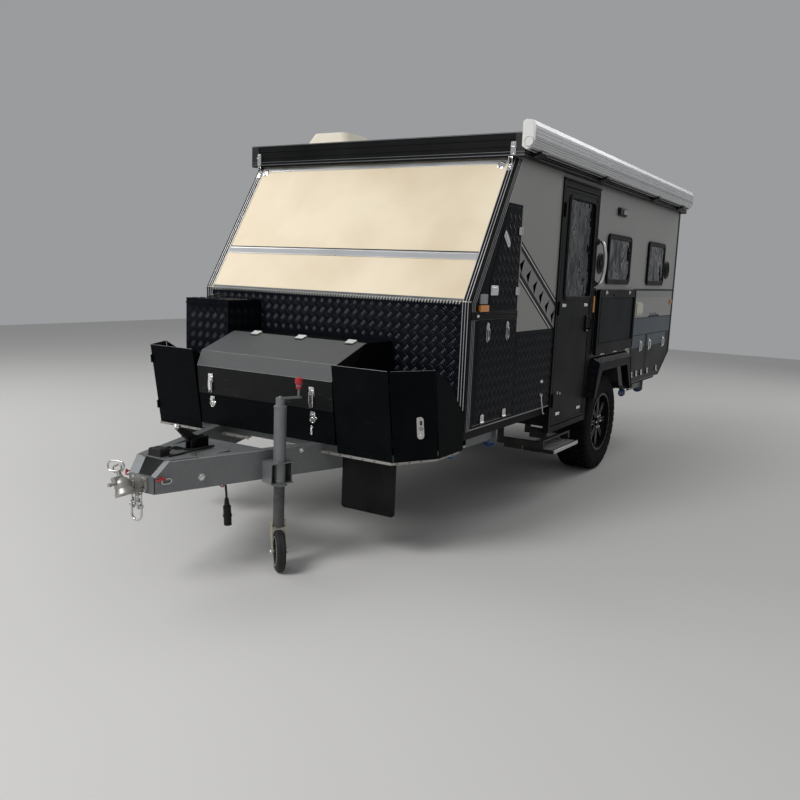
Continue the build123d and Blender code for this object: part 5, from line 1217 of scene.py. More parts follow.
def buildTable(look):
    a0, a1, b0, b1 = look["box"]
    face, pin = wallPlace(1, look["x"]), wallPlace(1, 0.0265)
    rims = [ringOn(face, inset(look["box"], 0.001, 0.024, 5), inset(look["box"], 0.014, 0.014, 5), 0.0001, 0.003),
            ringOn(face, rounded(a0 + 0.052, a1 - 0.028, b0 + 0.072, b1 - 0.052, 0.014, 5),
                   rounded(a0 + 0.062, a1 - 0.038, b0 + 0.082, b1 - 0.062, 0.010, 5), 0.0001, 0.0025)]
    addPiece("tableRims", rims, "trimBlack", "picnic_table", bevel=0.001)
    sheet = rounded(a0 + 0.063, a1 - 0.038, b0 + 0.083, b1 - 0.063, 0.010, 5)
    addPiece("tableSheet", [plateOn(wallPlace(1, look["x"] - 0.0098), sheet, 0, 0.0012)], "tableGrey", "picnic_table")
    catches = []
    for a, b in look["catches"]:
        catches += [disc(face, a, b, 0.0001, [(0.016, 0), (0.016, 0.003), (0.011, 0.005), (0.010, 0.009), (0, 0.010)],
                         24),
                    plateOn(face, about(a, b, 0.003, 0.009, 0.0028), 0.0095, 0.012)]
    addPiece("tableCatches", catches, "chrome", "picnic_table")
    lip = plateOn(face, rounded(a0 + 0.36, a1 - 0.36, b1 - 0.048, b1 - 0.036, 0.005), 0.0001, 0.006)
    addPiece("tableLip", [lip], "trimBlack", "picnic_table", bevel=0.001)
    hinges = [tubeShape([pin(a + step, b0 + 0.0005, 0) for step in (-0.05, 0.05)], 0.0045, 10) for a in look["hinges"]]
    addPiece("tableHinges", hinges, "brightSteel", "picnic_table")


buildTable(table)

# wheel-arch flares: raised bars on the slanted faces, and an edge strip
arch = {"foot": ((2.008, 0.640), (2.086, 0.945), (2.974, 0.945), (3.052, 0.640)),
        "lip": ((2.032, 0.640), (2.118, 0.905), (2.942, 0.905), (3.028, 0.640)), "out": 0.060}


def buildArches(look):
    for name, side in sides.items():
        foot = [at(side * bodyHalf, a, b) for a, b in look["foot"]]
        lip = [at(side * (bodyHalf + look["out"]), a, b) for a, b in look["lip"]]
        bars = []
        for k in range(3):
            corners = (foot[k], foot[k + 1], lip[k + 1], lip[k])
            start = corners[0]
            along = (corners[1] - start).normalized()
            up = corners[3] - start
            up = (up - along * up.dot(along)).normalized()
            out = along.cross(up).normalized()
            if out.x * side < 0:
                out = -out
            flat = [((corner - start).dot(along), (corner - start).dot(up)) for corner in corners]
            bars.append(barPattern(flat, lambda a, b, h: start + along * a + up * b + out * h))
        addPiece(f"archBars_{name}", bars, "barBlack")
        edge = tubeShape([p + Vector((side * 0.0005, 0, 0)) for p in lip], 0.0032, 8)
        addPiece(f"archEdge_{name}", [edge], "softRubber")


buildArches(arch)
print("side fittings made")


def tubeOn(place, spots, radius, count=8, closed=False):
    return tubeShape([place(*spot) for spot in spots], radius, count, closed)


# roof edge: grooved trim, corner caps, over-centre latches and the panel's eyelets
roofEdge = {"half": 1.015, "y": (0.480, 4.525), "z": (2.205, 2.345), "ribs": (2.222, 2.262, 2.302),
            "proud": (0.0035, 0.0042), "lines": ((2.2150, 0.0055), (2.2330, 0.0035), (2.3380, 0.0060)),
            "latchX": (-0.950, 0.950), "strapZ": 2.150, "eyelets": (-0.893, 0.880), "eyeletZ": 2.162}


def buildRoofEdge(look):
    half, (y0, y1), (z0, z1), (proud, lineProud) = look["half"], look["y"], look["z"], look["proud"]

    def hoop(out, z, high):
        outer, inner = (rect(-half - m, half + m, y0 - m, y1 + m) for m in (out, 0))
        return ringOn(at, outer, inner, z, z + high)
    addPiece("roofRibs", [hoop(proud, z, 0.006) for z in look["ribs"]], "trimBlack", "roof", bevel=0.001)
    addPiece("roofLines", [hoop(lineProud, z, high) for z, high in look["lines"]], "kneeGrey", "roof")
    caps = []
    for sx in (-1, 1):
        for y, sy in ((y0, 1), (y1, -1)):
            corner = [(sx * (half + a), y + sy * b) for a, b in
                      ((0.004, -0.004), (-0.055, -0.004), (-0.055, 0.0001), (0, 0.0001), (0, 0.055), (0.004, 0.055))]
            caps.append(prismShape(corner, "z", z0 + 0.001, z1 - 0.001))
    addPiece("roofCornerCaps", caps, "plasticBlack", "roof", bevel=0.0015)

    def face(a, b, h):
        return at(a, y0 - 0.0001 - h, b)
    keepers, straps, rings, cups = [], [], [], []
    for x in look["latchX"]:
        staple = [(x + a, 2.262, h) for a, h in ((-0.012, 0.010), (-0.012, 0.018), (0.012, 0.018), (0.012, 0.010))]
        keepers += [plateOn(face, rounded(x - 0.016, x + 0.016, 2.214, 2.292, 0.006), 0.0036, 0.008),
                    *(screwHead(face, x, b, 0.008) for b in (2.222, 2.284)), tubeOn(face, staple, 0.0030)]
        foot = (look["strapZ"] - kneeZ) / slopeDir.z
        spot = x - math.copysign(0.010, x)
        low, high = slopePlace(spot, foot + 0.010, 0.012), at(spot, y0 - 0.016, 2.205)
        middle = (low + high) / 2
        bow = [p + Vector((a, b, 0)) for p, a, b in ((low, -0.010, 0), (middle, -0.011, -0.006), (high, -0.010, 0),
                                                     (high, 0.010, 0), (middle, 0.011, -0.006), (low, 0.010, 0))]
        straps += [plateOn(slopePlace, rounded(spot - 0.014, spot + 0.014, foot - 0.030, foot + 0.016, 0.006), 0.0042,
                           0.009),
                   disc(slopePlace, spot, foot - 0.004, 0.009, button(0.009, 0.004, 0.006, 0.006), 18),
                   tubeShape(bow, 0.0028, 8, closed=True)]
    addPiece("roofLatches", keepers, "chrome", "roof", bevel=0.0008)
    addPiece("roofLatchFeet", straps, "chrome", bevel=0.0008)
    for x in look["eyelets"]:
        b = (look["eyeletZ"] - kneeZ) / slopeDir.z
        rings.append(disc(slopePlace, x, b, 0.0002,
                          [(0.026, 0), (0.026, 0.003), (0.021, 0.0060), (0.0165, 0.0060), (0.0150, 0.0030)]))
        cups.append(disc(slopePlace, x, b, 0.0004, [(0.0150, 0.0020), (0.0080, 0.0025), (0, 0.0025)], 20))
    addPiece("panelEyelets", rings, "chrome")
    addPiece("eyeletCups", cups, "tubeDark")


buildRoofEdge(roofEdge)

# awning cassette: end caps with the roller's ends, ribs, slots, grooves and brackets
awning = {"x": (1.015, 1.095), "y": (0.450, 4.420), "z": (2.238, 2.405), "brackets": (0.632, 1.847, 3.274, 4.171),
          "bracket": ((0.0040, -0.020), (0.0040, 0.010), (0.030, -0.0010), (0.064, 0.008), (0.068, -0.004),
                      (0.032, -0.016), (0.012, -0.024)), "grooves": (0.0625, 0.0720, 0.0925, 0.1125),
          "ribs": (0.066, 0.086, 0.106)}


def buildAwning(look):
    (x0, x1), (y0, y1), (z0, z1) = look["x"], look["y"], look["z"]
    outline = [(x0 + 0.001, z0 + 0.020), (x0 + 0.001, z1 - 0.012), (x0 + 0.022, z1 - 0.0005), (x1 - 0.020, z1 - 0.0065),
               (x1 - 0.0005, z1 - 0.036), (x1 - 0.0005, z0 + 0.052), (x1 - 0.016, z0 + 0.0165),
               (x0 + 0.030, z0 + 0.0005)]
    middleX, middleZ = (x0 + x1) / 2, (z0 + z1) / 2
    inner = [(middleX + (a - middleX) * 0.80, middleZ + (b - middleZ) * 0.84) for a, b in outline]
    roller = [(0.030, 0), (0.030, 0.0040), (0.027, 0.0055), (0.023, 0.0040), (0.022, 0.0012), (0, 0.0012)]
    caps = []
    for out, start, end, low in ((-1, y0 - 0.012, y0 - 0.0001, y0 - 0.012 - 0.003),
                                 (1, y1 + 0.0001, y1 + 0.012, y1 + 0.012)):
        face = low if out < 0 else low + 0.003
        caps += [prismShape(outline, "y", start, end), prismShape(inner, "y", low, low + 0.003),
                 turnedShape(roller, at(x0 + 0.043, face, z0 + 0.046), Vector((0, out, 0)))]
    addPiece("awningCaps", caps, "plasticWhite", "roof", bevel=0.004)
    ribs = [boxShape(x1 - 0.0003, x1 + 0.0022, y0 + 0.003, y1 - 0.003, z0 + z, z0 + z + 0.005) for z in look["ribs"]]
    ribs.append(boxShape(x1 - 0.030, x1 - 0.026, y0 + 0.003, y1 - 0.003, z1 - 0.0070, z1 - 0.0042))
    addPiece("awningRibs", ribs, "awningWhite", "roof", bevel=0.001)
    slots = [boxShape(x0 + 0.040, x0 + 0.052, y0 + 0.020, y1 - 0.020, z0 - 0.0003, z0 + 0.004),
             boxShape(x1 - 0.0004, x1 + 0.0010, y0 + 0.004, y1 - 0.004, z0 + 0.0530, z0 + 0.0560)]
    addPiece("awningSlots", slots, "bandDark", "roof")
    grooves = [boxShape(x1 - 0.0004, x1 + 0.0009, y0 + 0.004, y1 - 0.004, z0 + z, z0 + z + 0.0022)
               for z in look["grooves"]]
    for share in (0.30, 0.66):
        a, b = x1 - 0.0005 - 0.0155 * share, z0 + 0.052 - 0.0355 * share
        grooves.append(tubeShape([at(a, y, b) for y in (y0 + 0.004, y1 - 0.004)], 0.0013, 6))
    addPiece("awningGrooves", grooves, "kneeGrey", "roof", slot="black_trim")
    section = [(x0 + a, z0 + b) for a, b in look["bracket"]]
    brackets = [prismShape(section, "y", y - 0.050, y + 0.050) for y in look["brackets"]]
    addPiece("awningBrackets", brackets, "plasticBlack", "roof", bevel=0.002)


buildAwning(awning)

# roof vent: ribbed lid with a raised rim
vent = {"x": -0.540, "y": 0.860, "top": 2.450, "foot": 2.370, "half": 0.190, "ribs": (-0.09, -0.045, 0, 0.045, 0.09)}


def buildVent(look):
    def place(a, b, h):
        return at(look["x"] + a, look["y"] + b, h)
    ribs = [plateOn(place, rounded(-0.110, 0.110, b - 0.006, b + 0.006, 0.005), look["top"] - 0.001,
                    look["top"] + 0.004)
            for b in look["ribs"]]
    addPiece("ventRibs", ribs, "roofCream", "roof", bevel=0.0015)
    half, foot = look["half"], look["foot"]
    box = (-half, half, -half, half)
    rim = ringOn(place, inset(box, 0.001, 0.012), inset(box, 0.014, 0.030), foot + 0.0001, foot + 0.006)
    addPiece("ventRim", [rim], "plasticWhite", "roof", bevel=0.0015, slot="roof_shell")


buildVent(vent)
print("roof and awning fittings made")

# toolbox: bright hinges, folds, over-centre latches and catches, lip, seal and lock; corners are (y, z)
toolbox = {"half": 0.480, "hinge": (-0.262, 1.139), "ridge": (-0.537, 1.040), "knee": (-0.574, 0.955),
           "seam": (-0.552, 0.788), "foot": (-0.528, 0.612), "hingeX": (-0.295, 0.039, 0.387),
           "latchX": (-0.380, 0.345), "keyX": 0.332}


def betweenPoints(low, high):
    # place on the flat face that runs across the toolbox from one (y, z) corner to another
    start = at(0, *low)
    up = (at(0, *high) - start).normalized()
    out = Vector((0, -up.z, up.y))
    return lambda a, b, h: start + Vector((a, 0, 0)) + up * b + out * h


def buildToolbox(look):
    lid, half = "toolbox_lid", look["half"]
    hinge, ridge, knee = look["hinge"], look["ridge"], look["knee"]
    top, face = betweenPoints(ridge, hinge), betweenPoints(look["seam"], knee)
    box = betweenPoints(look["foot"], look["seam"])
    length, high = math.dist(hinge, ridge), math.dist(look["foot"], look["seam"])
    hinges, upper, lower = [], [], []
    for x in look["hingeX"]:
        pin = at(x, hinge[0], hinge[1] + 0.0063)
        hinges += [plateOn(top, rounded(x - 0.028, x + 0.028, length - 0.036, length - 0.004, 0.004), 0.0082, 0.0105),
                   *(screwHead(top, x + dx, length - 0.024, 0.0105) for dx in (-0.016, 0.016)),
                   *(tubeShape([pin + Vector((dx, 0, 0)) for dx in ends], 0.0072, 12)
                     for ends in ((-0.028, -0.010), (-0.009, 0.009), (0.010, 0.028)))]
    addPiece("toolboxHinges", hinges, "plasticWhite", lid, bevel=0.0008, slot="chrome_trim")
    # bright lines along the lid's folds and side edges: painted highlights where the folds catch the light, also meant
    # as edge wear
    folds = [tubeShape([at(x, y + 0.0006, z - 0.0003) for x in (0.002 - half, half - 0.002)], 0.0015, 8)
             for y, z in (ridge, knee)]
    folds += [tubeShape([at(x, y + 0.0006, z - 0.0004) for y, z in (hinge, ridge, knee)], 0.0012, 6)
              for x in (0.0012 - half, half - 0.0012)]
    addPiece("toolboxFolds", folds, "edgeWearAndHighlight", lid, slot="black_steel")
    for x in look["latchX"]:
        path = [(x + a, b, h) for a, b, h in ((-0.011, 0.098, 0.009), (-0.013, 0.060, 0.013), (-0.010, 0.022, 0.014),
                                              (0.010, 0.022, 0.014), (0.013, 0.060, 0.013), (0.011, 0.098, 0.009))]
        upper += [plateOn(face, rounded(x - 0.017, x + 0.017, 0.075, 0.128, 0.005), 0.0001, 0.0025),
                  *(screwHead(face, x, b, 0.0025) for b in (0.084, 0.119)),
                  plateOn(face, rounded(x - 0.010, x + 0.010, 0.088, 0.112, 0.003), 0.0025, 0.011),
                  tubeOn(face, path, 0.0026, closed=True),
                  plateOn(face, leverOutline(x, 0.090, 0.028, 0.0085), 0.0145, 0.0175)]
        turns = [2 * math.pi * k / 16 for k in range(16)]
        ring = [(x + 0.014 * math.cos(t), high - 0.052 + 0.016 * math.sin(t), 0.0085 + 0.003 * math.sin(t))
                for t in turns]
        lower += [plateOn(box, rounded(x - 0.015, x + 0.015, high - 0.062, high - 0.006, 0.005), 0.0001, 0.0025),
                  plateOn(box, rect(x - 0.011, x + 0.011, high - 0.030, high - 0.018), 0.0025, 0.012),
                  tubeOn(box, ring, 0.0024, closed=True),
                  disc(box, x + 0.022, high - 0.040, 0.001, button(0.008, 0.005, 0.005, 0.008), 16)]
    addPiece("toolboxLatches", upper, "chrome", lid, bevel=0.0008)
    addPiece("toolboxCatches", lower, "chrome", bevel=0.0008)
    addPiece("toolboxLip", [plateOn(face, rect(0.001 - half, half - 0.001, 0.0003, 0.007), 0.0001, 0.003)],
             "powderBlack", lid, bevel=0.0008)
    addPiece("toolboxSeal", [boxShape(-0.478, 0.478, -0.5500, -0.5470, 0.7835, 0.7885)], "softRubber", bevel=0.001)
    x = look["keyX"]
    key = [disc(box, x, 0.083, 0.0001, button(0.009, 0.003, 0.006, 0.005), 18),
           plateOn(box, rounded(x - 0.006, x + 0.006, 0.040, 0.078, 0.005), 0.006, 0.008)]
    addPiece("toolboxKey", key, "chrome", bevel=0.0005)


buildToolbox(toolbox)

# stone guards: folded edges, bright lines along the top edges (painted highlights, also edge wear), door handles and
# bolts
guard = {"top": 1.045, "low": 0.573, "lean": 0.080, "inner": 0.492, "corner": 0.840, "frontY": -0.600, "sideY": -0.360,
         "side": 0.970, "bolts": 5}


def buildGuards(look):
    top, low, inner, corner = look["top"], look["low"], look["inner"], look["corner"]
    for name, side in sides.items():
        body = f"guard_door_{name}"

        def front(a, b, h):
            return at(side * a, look["frontY"] + look["lean"] * (top - b) / (top - low) - h, b)
        # bright line along the guard's top edge: a painted highlight, also meant as edge wear
        edgeHighlight = tubeOn(front, [(a, top + 0.0008, -0.0008) for a in (inner + 0.004, corner - 0.010)], 0.0012, 6)
        addPiece(f"guardEdgeHighlightAndWear_{name}", [edgeHighlight], "edgeWearAndHighlight", slot="black_steel")
        runs = (((inner + 0.002, top - 0.001), (corner - 0.010, top - 0.001)),
                ((inner + 0.0025, top - 0.002), (inner + 0.0025, low + 0.002)),
                ((inner + 0.003, low + 0.002), (corner - 0.010, low + 0.002)))
        addPiece(f"guardEdges_{name}", [tubeOn(front, [(*spot, -0.002) for spot in run], 0.0032) for run in runs],
                 "powderBlack")
        topIn, topOut = Vector((corner, look["frontY"])), Vector((look["side"], look["sideY"]))
        across = (topOut - topIn).normalized()
        start, end = topIn + across * 0.006, topOut - across * 0.006
        lean = Vector((0, look["lean"], low - top))
        along = Vector((side * across.x, across.y, 0))
        flat = along.cross(lean).normalized()
        if flat.dot(Vector((side * across.y, -across.x, 0))) < 0:
            flat = -flat
        hang, down = at(side * start.x, start.y, top), lean.normalized()

        def doorPlace(a, b, h):
            return hang + along * a + down * b + flat * h
        width, drop = (end - start).length, lean.length
        rim = loopOn(doorPlace, rect(0.003, width - 0.003, 0.003, drop - 0.003), -0.002, 0.0030, 8)
        addPiece(f"guardDoorRim_{name}", [rim], "powderBlack", body)
        # bright line along the door's top edge: a painted highlight, also meant as edge wear
        edgeHighlight = tubeOn(doorPlace, [(a, -0.0006, -0.001) for a in (0.004, width - 0.004)], 0.0011, 6)
        addPiece(f"guardDoorEdgeHighlightAndWear_{name}", [edgeHighlight], "edgeWearAndHighlight", body, slot="black_steel")
        a, b = width * 0.62, drop * 0.63
        handle = [plateOn(doorPlace, about(a, b, 0.021, 0.060, 0.018, 5), 0.0001, 0.0035),
                  plateOn(doorPlace, rounded(a - 0.013, a + 0.013, b - 0.050, b + 0.020, 0.011, 5), 0.0035, 0.0095),
                  disc(doorPlace, a, b + 0.040, 0.0035, button(0.0095, 0.004, 0.007, 0.006), 20)]
        addPiece(f"guardHandle_{name}", handle, "brightSteel", body, bevel=0.0012)
        dark = [ringOn(doorPlace, circle(a, b + 0.002, 0.0095), circle(a, b + 0.002, 0.0060), 0.0096, 0.0110),
                plateOn(doorPlace, rounded(a - 0.0080, a + 0.0080, b - 0.042, b - 0.016, 0.005), 0.0096, 0.0100)]
        addPiece(f"guardHandleDark_{name}", dark, "tubeDark", body)
        bolt = [(0.0065, 0), (0.0065, 0.002), (0.0045, 0.004), (0, 0.0042)]
        bolts = [disc(front, inner + 0.045 + k * (corner - inner - 0.10) / (look["bolts"] - 1), low + 0.020, 0.0001,
                      bolt, 12)
                 for k in range(look["bolts"])]
        addPiece(f"guardBolts_{name}", bolts, "powderBlack")


buildGuards(guard)


# gas box: lid's rolled edge, its latch and lock
def buildGasBox(look):
    (x0, x1), (y0, y1), (z0, z1) = look["x"], look["y"], look["lidZ"]
    rim = ringOn(at, rect(x0 - 0.003, x1 + 0.003, y0 - 0.003, y1), rect(x0, x1, y0, y1 - 0.001), z0 + 0.001, z0 + 0.009)
    addPiece("gasLidRim", [rim], "plateBlack", "gas_box_lid", bevel=0.0012)

    def over(a, b, h):
        return at(a, b, z1 + 0.010 + h)
    x, y = look["latch"]
    lever = [over(x + a, y + b, h)
             for a, b, h in ((0.012, -0.016, 0.004), (0.030, -0.030, 0.016), (0.066, -0.020, 0.020),
                                                   (0.072, 0.004, 0.016), (0.040, 0.016, 0.004))]
    latch = [plateOn(over, about(x, y, 0.050, 0.022, 0.008), -0.002, 0.004),
             plateOn(over, rounded(x - 0.036, x + 0.020, y - 0.012, y + 0.012, 0.006), 0.004, 0.010),
             tubeShape(smoothPath(lever), 0.0042, 8)]
    addPiece("gasLidLatch", latch, "plasticBlack", "gas_box_lid", bevel=0.0012)
    addPiece("gasLidLock", [disc(over, x - 0.024, y, 0.010, button(0.008, 0.003, 0.005, 0.005), 16)], "chrome",
             "gas_box_lid")


buildGasBox(gasBox)

# jockey wheel: red knob, cap and bead of the tube, pale dished rims, nuts and tyre ribs
axisX, axisY, axisZ = Vector((1, 0, 0)), Vector((0, 1, 0)), Vector((0, 0, 1))
railSlope = 486 / 1400
jockey = {"x": 0.355, "y": -0.830, "turn": -132, "wheelR": 0.105, "half": 0.026, "trail": 0.042, "tubeTop": 0.845,
          "knobZ": (0.928, 0.982), "knobReach": 0.106, "spokes": 5}


def buildJockey(look):
    railTurn = math.atan(railSlope)
    centre, (low, high), top = at(look["x"], look["y"], 0), look["knobZ"], look["tubeTop"]
    knobAt = centre + Vector((math.sin(railTurn), math.cos(railTurn), 0)) * look["knobReach"]
    profile = [(0, low - 0.002), (0.0135, low - 0.002), (0.0155, low + 0.004), (0.0150, low + 0.016),
               (0.0185, low + 0.024), (0.0212, low + 0.030), (0.0215, high - 0.010), (0.0195, high - 0.002),
               (0.014, high + 0.001), (0, high + 0.0015)]
    addPiece("jockeyKnob", [turnedShape(profile, knobAt, axisZ, 28)], "knobRed", slot="black_plastic")
    cap = [(0.0318, top - 0.012), (0.0330, top - 0.010), (0.0330, top + 0.001), (0.0245, top + 0.006),
           (0.0245, top + 0.0065)]
    caps = [turnedShape(cap, centre, axisZ),
            turnedShape([(0.0118, 0.8785), (0.0118, 0.8900), (0.009, 0.8945), (0, 0.8950)], centre, axisZ, 20)]
    addPiece("jockeyCap", caps, "galvanised")
    bead = ringShape([(0.0320, 0.456), (0.0336, 0.458), (0.0336, 0.468), (0.0320, 0.470)], centre, axisZ)
    addPiece("jockeyTubeBead", [bead], "galvanised")
    turn, half, wheelR = math.radians(look["turn"]), look["half"], look["wheelR"]
    across, ahead = Vector((math.cos(turn), math.sin(turn), 0)), Vector((-math.sin(turn), math.cos(turn), 0))
    hub = centre + ahead * look["trail"] + axisZ * wheelR
    dish = [(radius, half + h) for radius, h in ((0.0610, -0.021), (0.0665, -0.004), (0.0740, -0.0012),
                                                 (0.0770, -0.0030), (0.0770, -0.006), (0.0690, -0.0085),
                                                 (0.0620, -0.0215))]
    disk = [(radius, half + h) for radius, h in ((0.0600, -0.0225), (0.0600, -0.0205), (0.0240, -0.0205),
                                                 (0.0240, -0.0225))]
    nut = [(0.0130, half + 0.0112), (0.0130, half + 0.0180), (0.0110, half + 0.0205), (0, half + 0.0205)]
    rims, nuts = [], []
    for sign in (1, -1):
        out = across * sign
        rims.append(ringShape(dish, hub, out, 36))
        for k in range(look["spokes"]):
            angle = 2 * math.pi * k / look["spokes"]
            radial = ahead * math.cos(angle) + axisZ * math.sin(angle)
            start, end = (hub + radial * reach + out * (half - 0.0200) for reach in (0.024, 0.060))
            rims.append(tubeShape([start, (start + end) / 2, end], [0.0042, 0.0032, 0.0042], 8))
        rims.append(ringShape(disk, hub, out, 36))
        nuts.append(turnedShape(nut, hub, out, 6))
    addPiece("jockeyRims", rims, "brightSteel", "jockey_wheel", slot="galvanised_steel")
    addPiece("jockeyNuts", nuts, "brightSteel", "jockey_fork", slot="galvanised_steel")
    ribs = [ringShape([(wheelR - 0.0005, x - 0.0040), (wheelR + 0.0002, x - 0.0030), (wheelR + 0.0002, x + 0.0030),
                       (wheelR - 0.0005, x + 0.0040)], hub, across, 48) for x in (-0.0105, 0, 0.0105)]
    addPiece("jockeyTyreRibs", ribs, "softRubber", "jockey_wheel")


buildJockey(jockey)

# corner steadies: blue feet and crank rings, screw sockets and nuts
steadies = {"y": {"front": 0.215, "rear": 3.580}, "length": 0.430, "x": 0.820, "pinZ": 0.548}


def buildSteadies(look):
    pad = [(0.015, -0.012), (0.018, 0.001), (0.036, 0.004), (0.043, 0.002), (0.0445, 0.006), (0.038, 0.010),
           (0.024, 0.008), (0, 0.007)]
    crank = [(0.022, -0.016), (0.029, -0.018), (0.033, -0.010), (0.029, 0.010), (0.021, 0.014), (0.019, 0.010)]
    x, pinZ, tilt = look["x"], look["pinZ"], Vector((0, 0.62, -0.78)).normalized()
    screwX = x - 0.012
    for place, y in look["y"].items():
        end = y + look["length"]
        spot = at(x, end + 0.020, pinZ - 0.050)
        foot = [turnedShape(pad, spot, tilt),
                tubeShape([at(x, end - 0.004, pinZ - 0.030), spot - tilt * 0.008], (0.014, 0.017), 14)]
        ring = [ringShape(crank, at(screwX, y - 0.052, 0.500), Vector((0, -1, -0.25)), 28)]
        screw = [tubeShape([at(screwX, y + 0.010, 0.512), at(screwX, y - 0.060, 0.497)], 0.0195, 14),
                 tubeShape([at(screwX, y + 0.012, 0.512), at(screwX, y - 0.012, 0.560)], 0.009, 10)]
        nut = [turnedShape(button(0.0145, 0.010, 0.0125, 0.013), at(x + 0.036, y, pinZ), axisX, 6)]
        for name, side in sides.items():
            label = f"{place}_{name}"
            addPiece(f"steadyFoot_{label}", onSide(foot, side), "footBlue", f"steady_{label}")
            addPiece(f"crankRing_{label}", onSide(ring, side), "footBlue")
            addPiece(f"crankSocket_{label}", onSide(screw, side), "zincCast")
            addPiece(f"steadyNut_{label}", onSide(nut, side), "brightSteel", f"steady_{label}", slot="galvanised_steel")


buildSteadies(steadies)

# entry step: nosing, grip bars and end caps
step = {"x": (0.760, 1.000), "y": (1.3453, 1.8247), "z": (0.322, 0.346), "rows": 6, "bars": 24}


def buildStep(look):
    (x0, x1), (y0, y1), (z0, z1) = look["x"], look["y"], look["z"]
    section = [(x1 - 0.0150, z1 + 0.0001), (x1 - 0.0150, z1 + 0.0032), (x1 + 0.0022, z1 + 0.0032),
               (x1 + 0.0030, z1 - 0.002), (x1 + 0.0030, z0 + 0.003), (x1 + 0.0001, z0 + 0.003),
               (x1 + 0.0001, z1 + 0.0001)]
    addPiece("stepNosing", [prismShape(section, "y", y0 + 0.002, y1 - 0.002)], "trimSilver", "step", bevel=0.001,
             slot="step_aluminium")
    grips = []
    for x in (x0 + 0.038 + 0.032 * k for k in range(look["rows"])):
        for j in range(look["bars"]):
            y = y0 + 0.012 + j * (y1 - y0 - 0.024) / (look["bars"] - 1)
            grips.append(boxShape(x + 0.002, x + 0.014, y - 0.003, y + 0.003, z1 + 0.0001, z1 + 0.0016))
    addPiece("stepGrips", grips, "stepSilver", "step")
    caps = [boxShape(x0 + 0.004, x1 - 0.004, *ends, z0 - 0.002, z1 + 0.001)
            for ends in ((y0 - 0.0002, y0 + 0.003), (y1 - 0.003, y1 + 0.0002))]
    addPiece("stepEndCaps", caps, "plasticBlack", "step", bevel=0.0008)


buildStep(step)
print("front fittings made")

# drawbar: rail bolts, bright lines along the rails' top edges as painted highlights, cable box with its leads, brake
# fittings, loop and collars of the head, red shackles
drawbar = {"frontY": -1.400, "frontHalf": 0.089, "topZ": 0.612, "flange": (-1.411, 0.034), "head": (0, -1.512, 0.512),
           "headRoll": 25, "bolts": ((-1.181, 0.517, 0.013), (-0.648, 0.589, 0.010)), "shackle": (-1.372, 0.540),
           "lead": (0.004, -0.902, 0.458),
           "leads": (((-0.024, -1.250, 0.018), (-0.024, -1.215, 0.024), (-0.020, -1.160, 0.006),
                      (-0.012, -1.110, 0.002)),
                     ((0.016, -1.250, 0.018), (0.018, -1.210, 0.030), (0.034, -1.140, 0.008), (0.036, -1.060, 0.002),
                      (0.034, -0.985, 0.002)),
                     ((0.060, -1.290, 0.004), (0.064, -1.200, 0.005), (0.056, -1.110, 0.006), (0.048, -1.020, 0.004),
                      (0.044, -0.975, 0.002)))}


def railPlace(side, y, look=drawbar):
    # place on a rail's outer face: a along the rail from y, b up from the ground, h out of the face
    angle = math.atan(railSlope)
    start = Vector((look["frontHalf"] + railSlope * (y - look["frontY"]), y + frontWall, 0))
    along, out = Vector((math.sin(angle), math.cos(angle), 0)), Vector((math.cos(angle), -math.sin(angle), 0))

    def place(a, b, h):
        point = start + along * a + out * h + Vector((0, 0, b))
        return Vector((side * point.x, point.y, point.z))
    return place


def ovalLink(centre, along, across, half, bend, wire):
    # stadium-shaped ring: half is half its straight length
    path = []
    for sign in (1, -1):
        for k in range(9):
            turn = math.pi * k / 8
            path.append(centre + along * sign * (half + bend * math.sin(turn)) + across * sign * bend * math.cos(turn))
    return tubeShape(path, wire, 8, closed=True)


def bowShackle(pin, drop, across, wide, wire):
    # bow below its pin: pin is the middle of the pin, drop points down the bow
    path = [pin + across * wide]
    for k in range(11):
        turn = math.pi * k / 10
        path.append(pin + drop * (wide * 1.3 + wide * 1.1 * math.sin(turn)) + across * wide * 1.15 * math.cos(turn))
    path.append(pin - across * wide)
    return [tubeShape(smoothPath(path, 3), wire, 8),
            tubeShape([pin - across * wide * 1.6, pin + across * wide * 1.5], wire, 10),
            tubeShape([pin + across * wide * 1.45, pin + across * wide * 1.75], wire * 2.0, 10)]


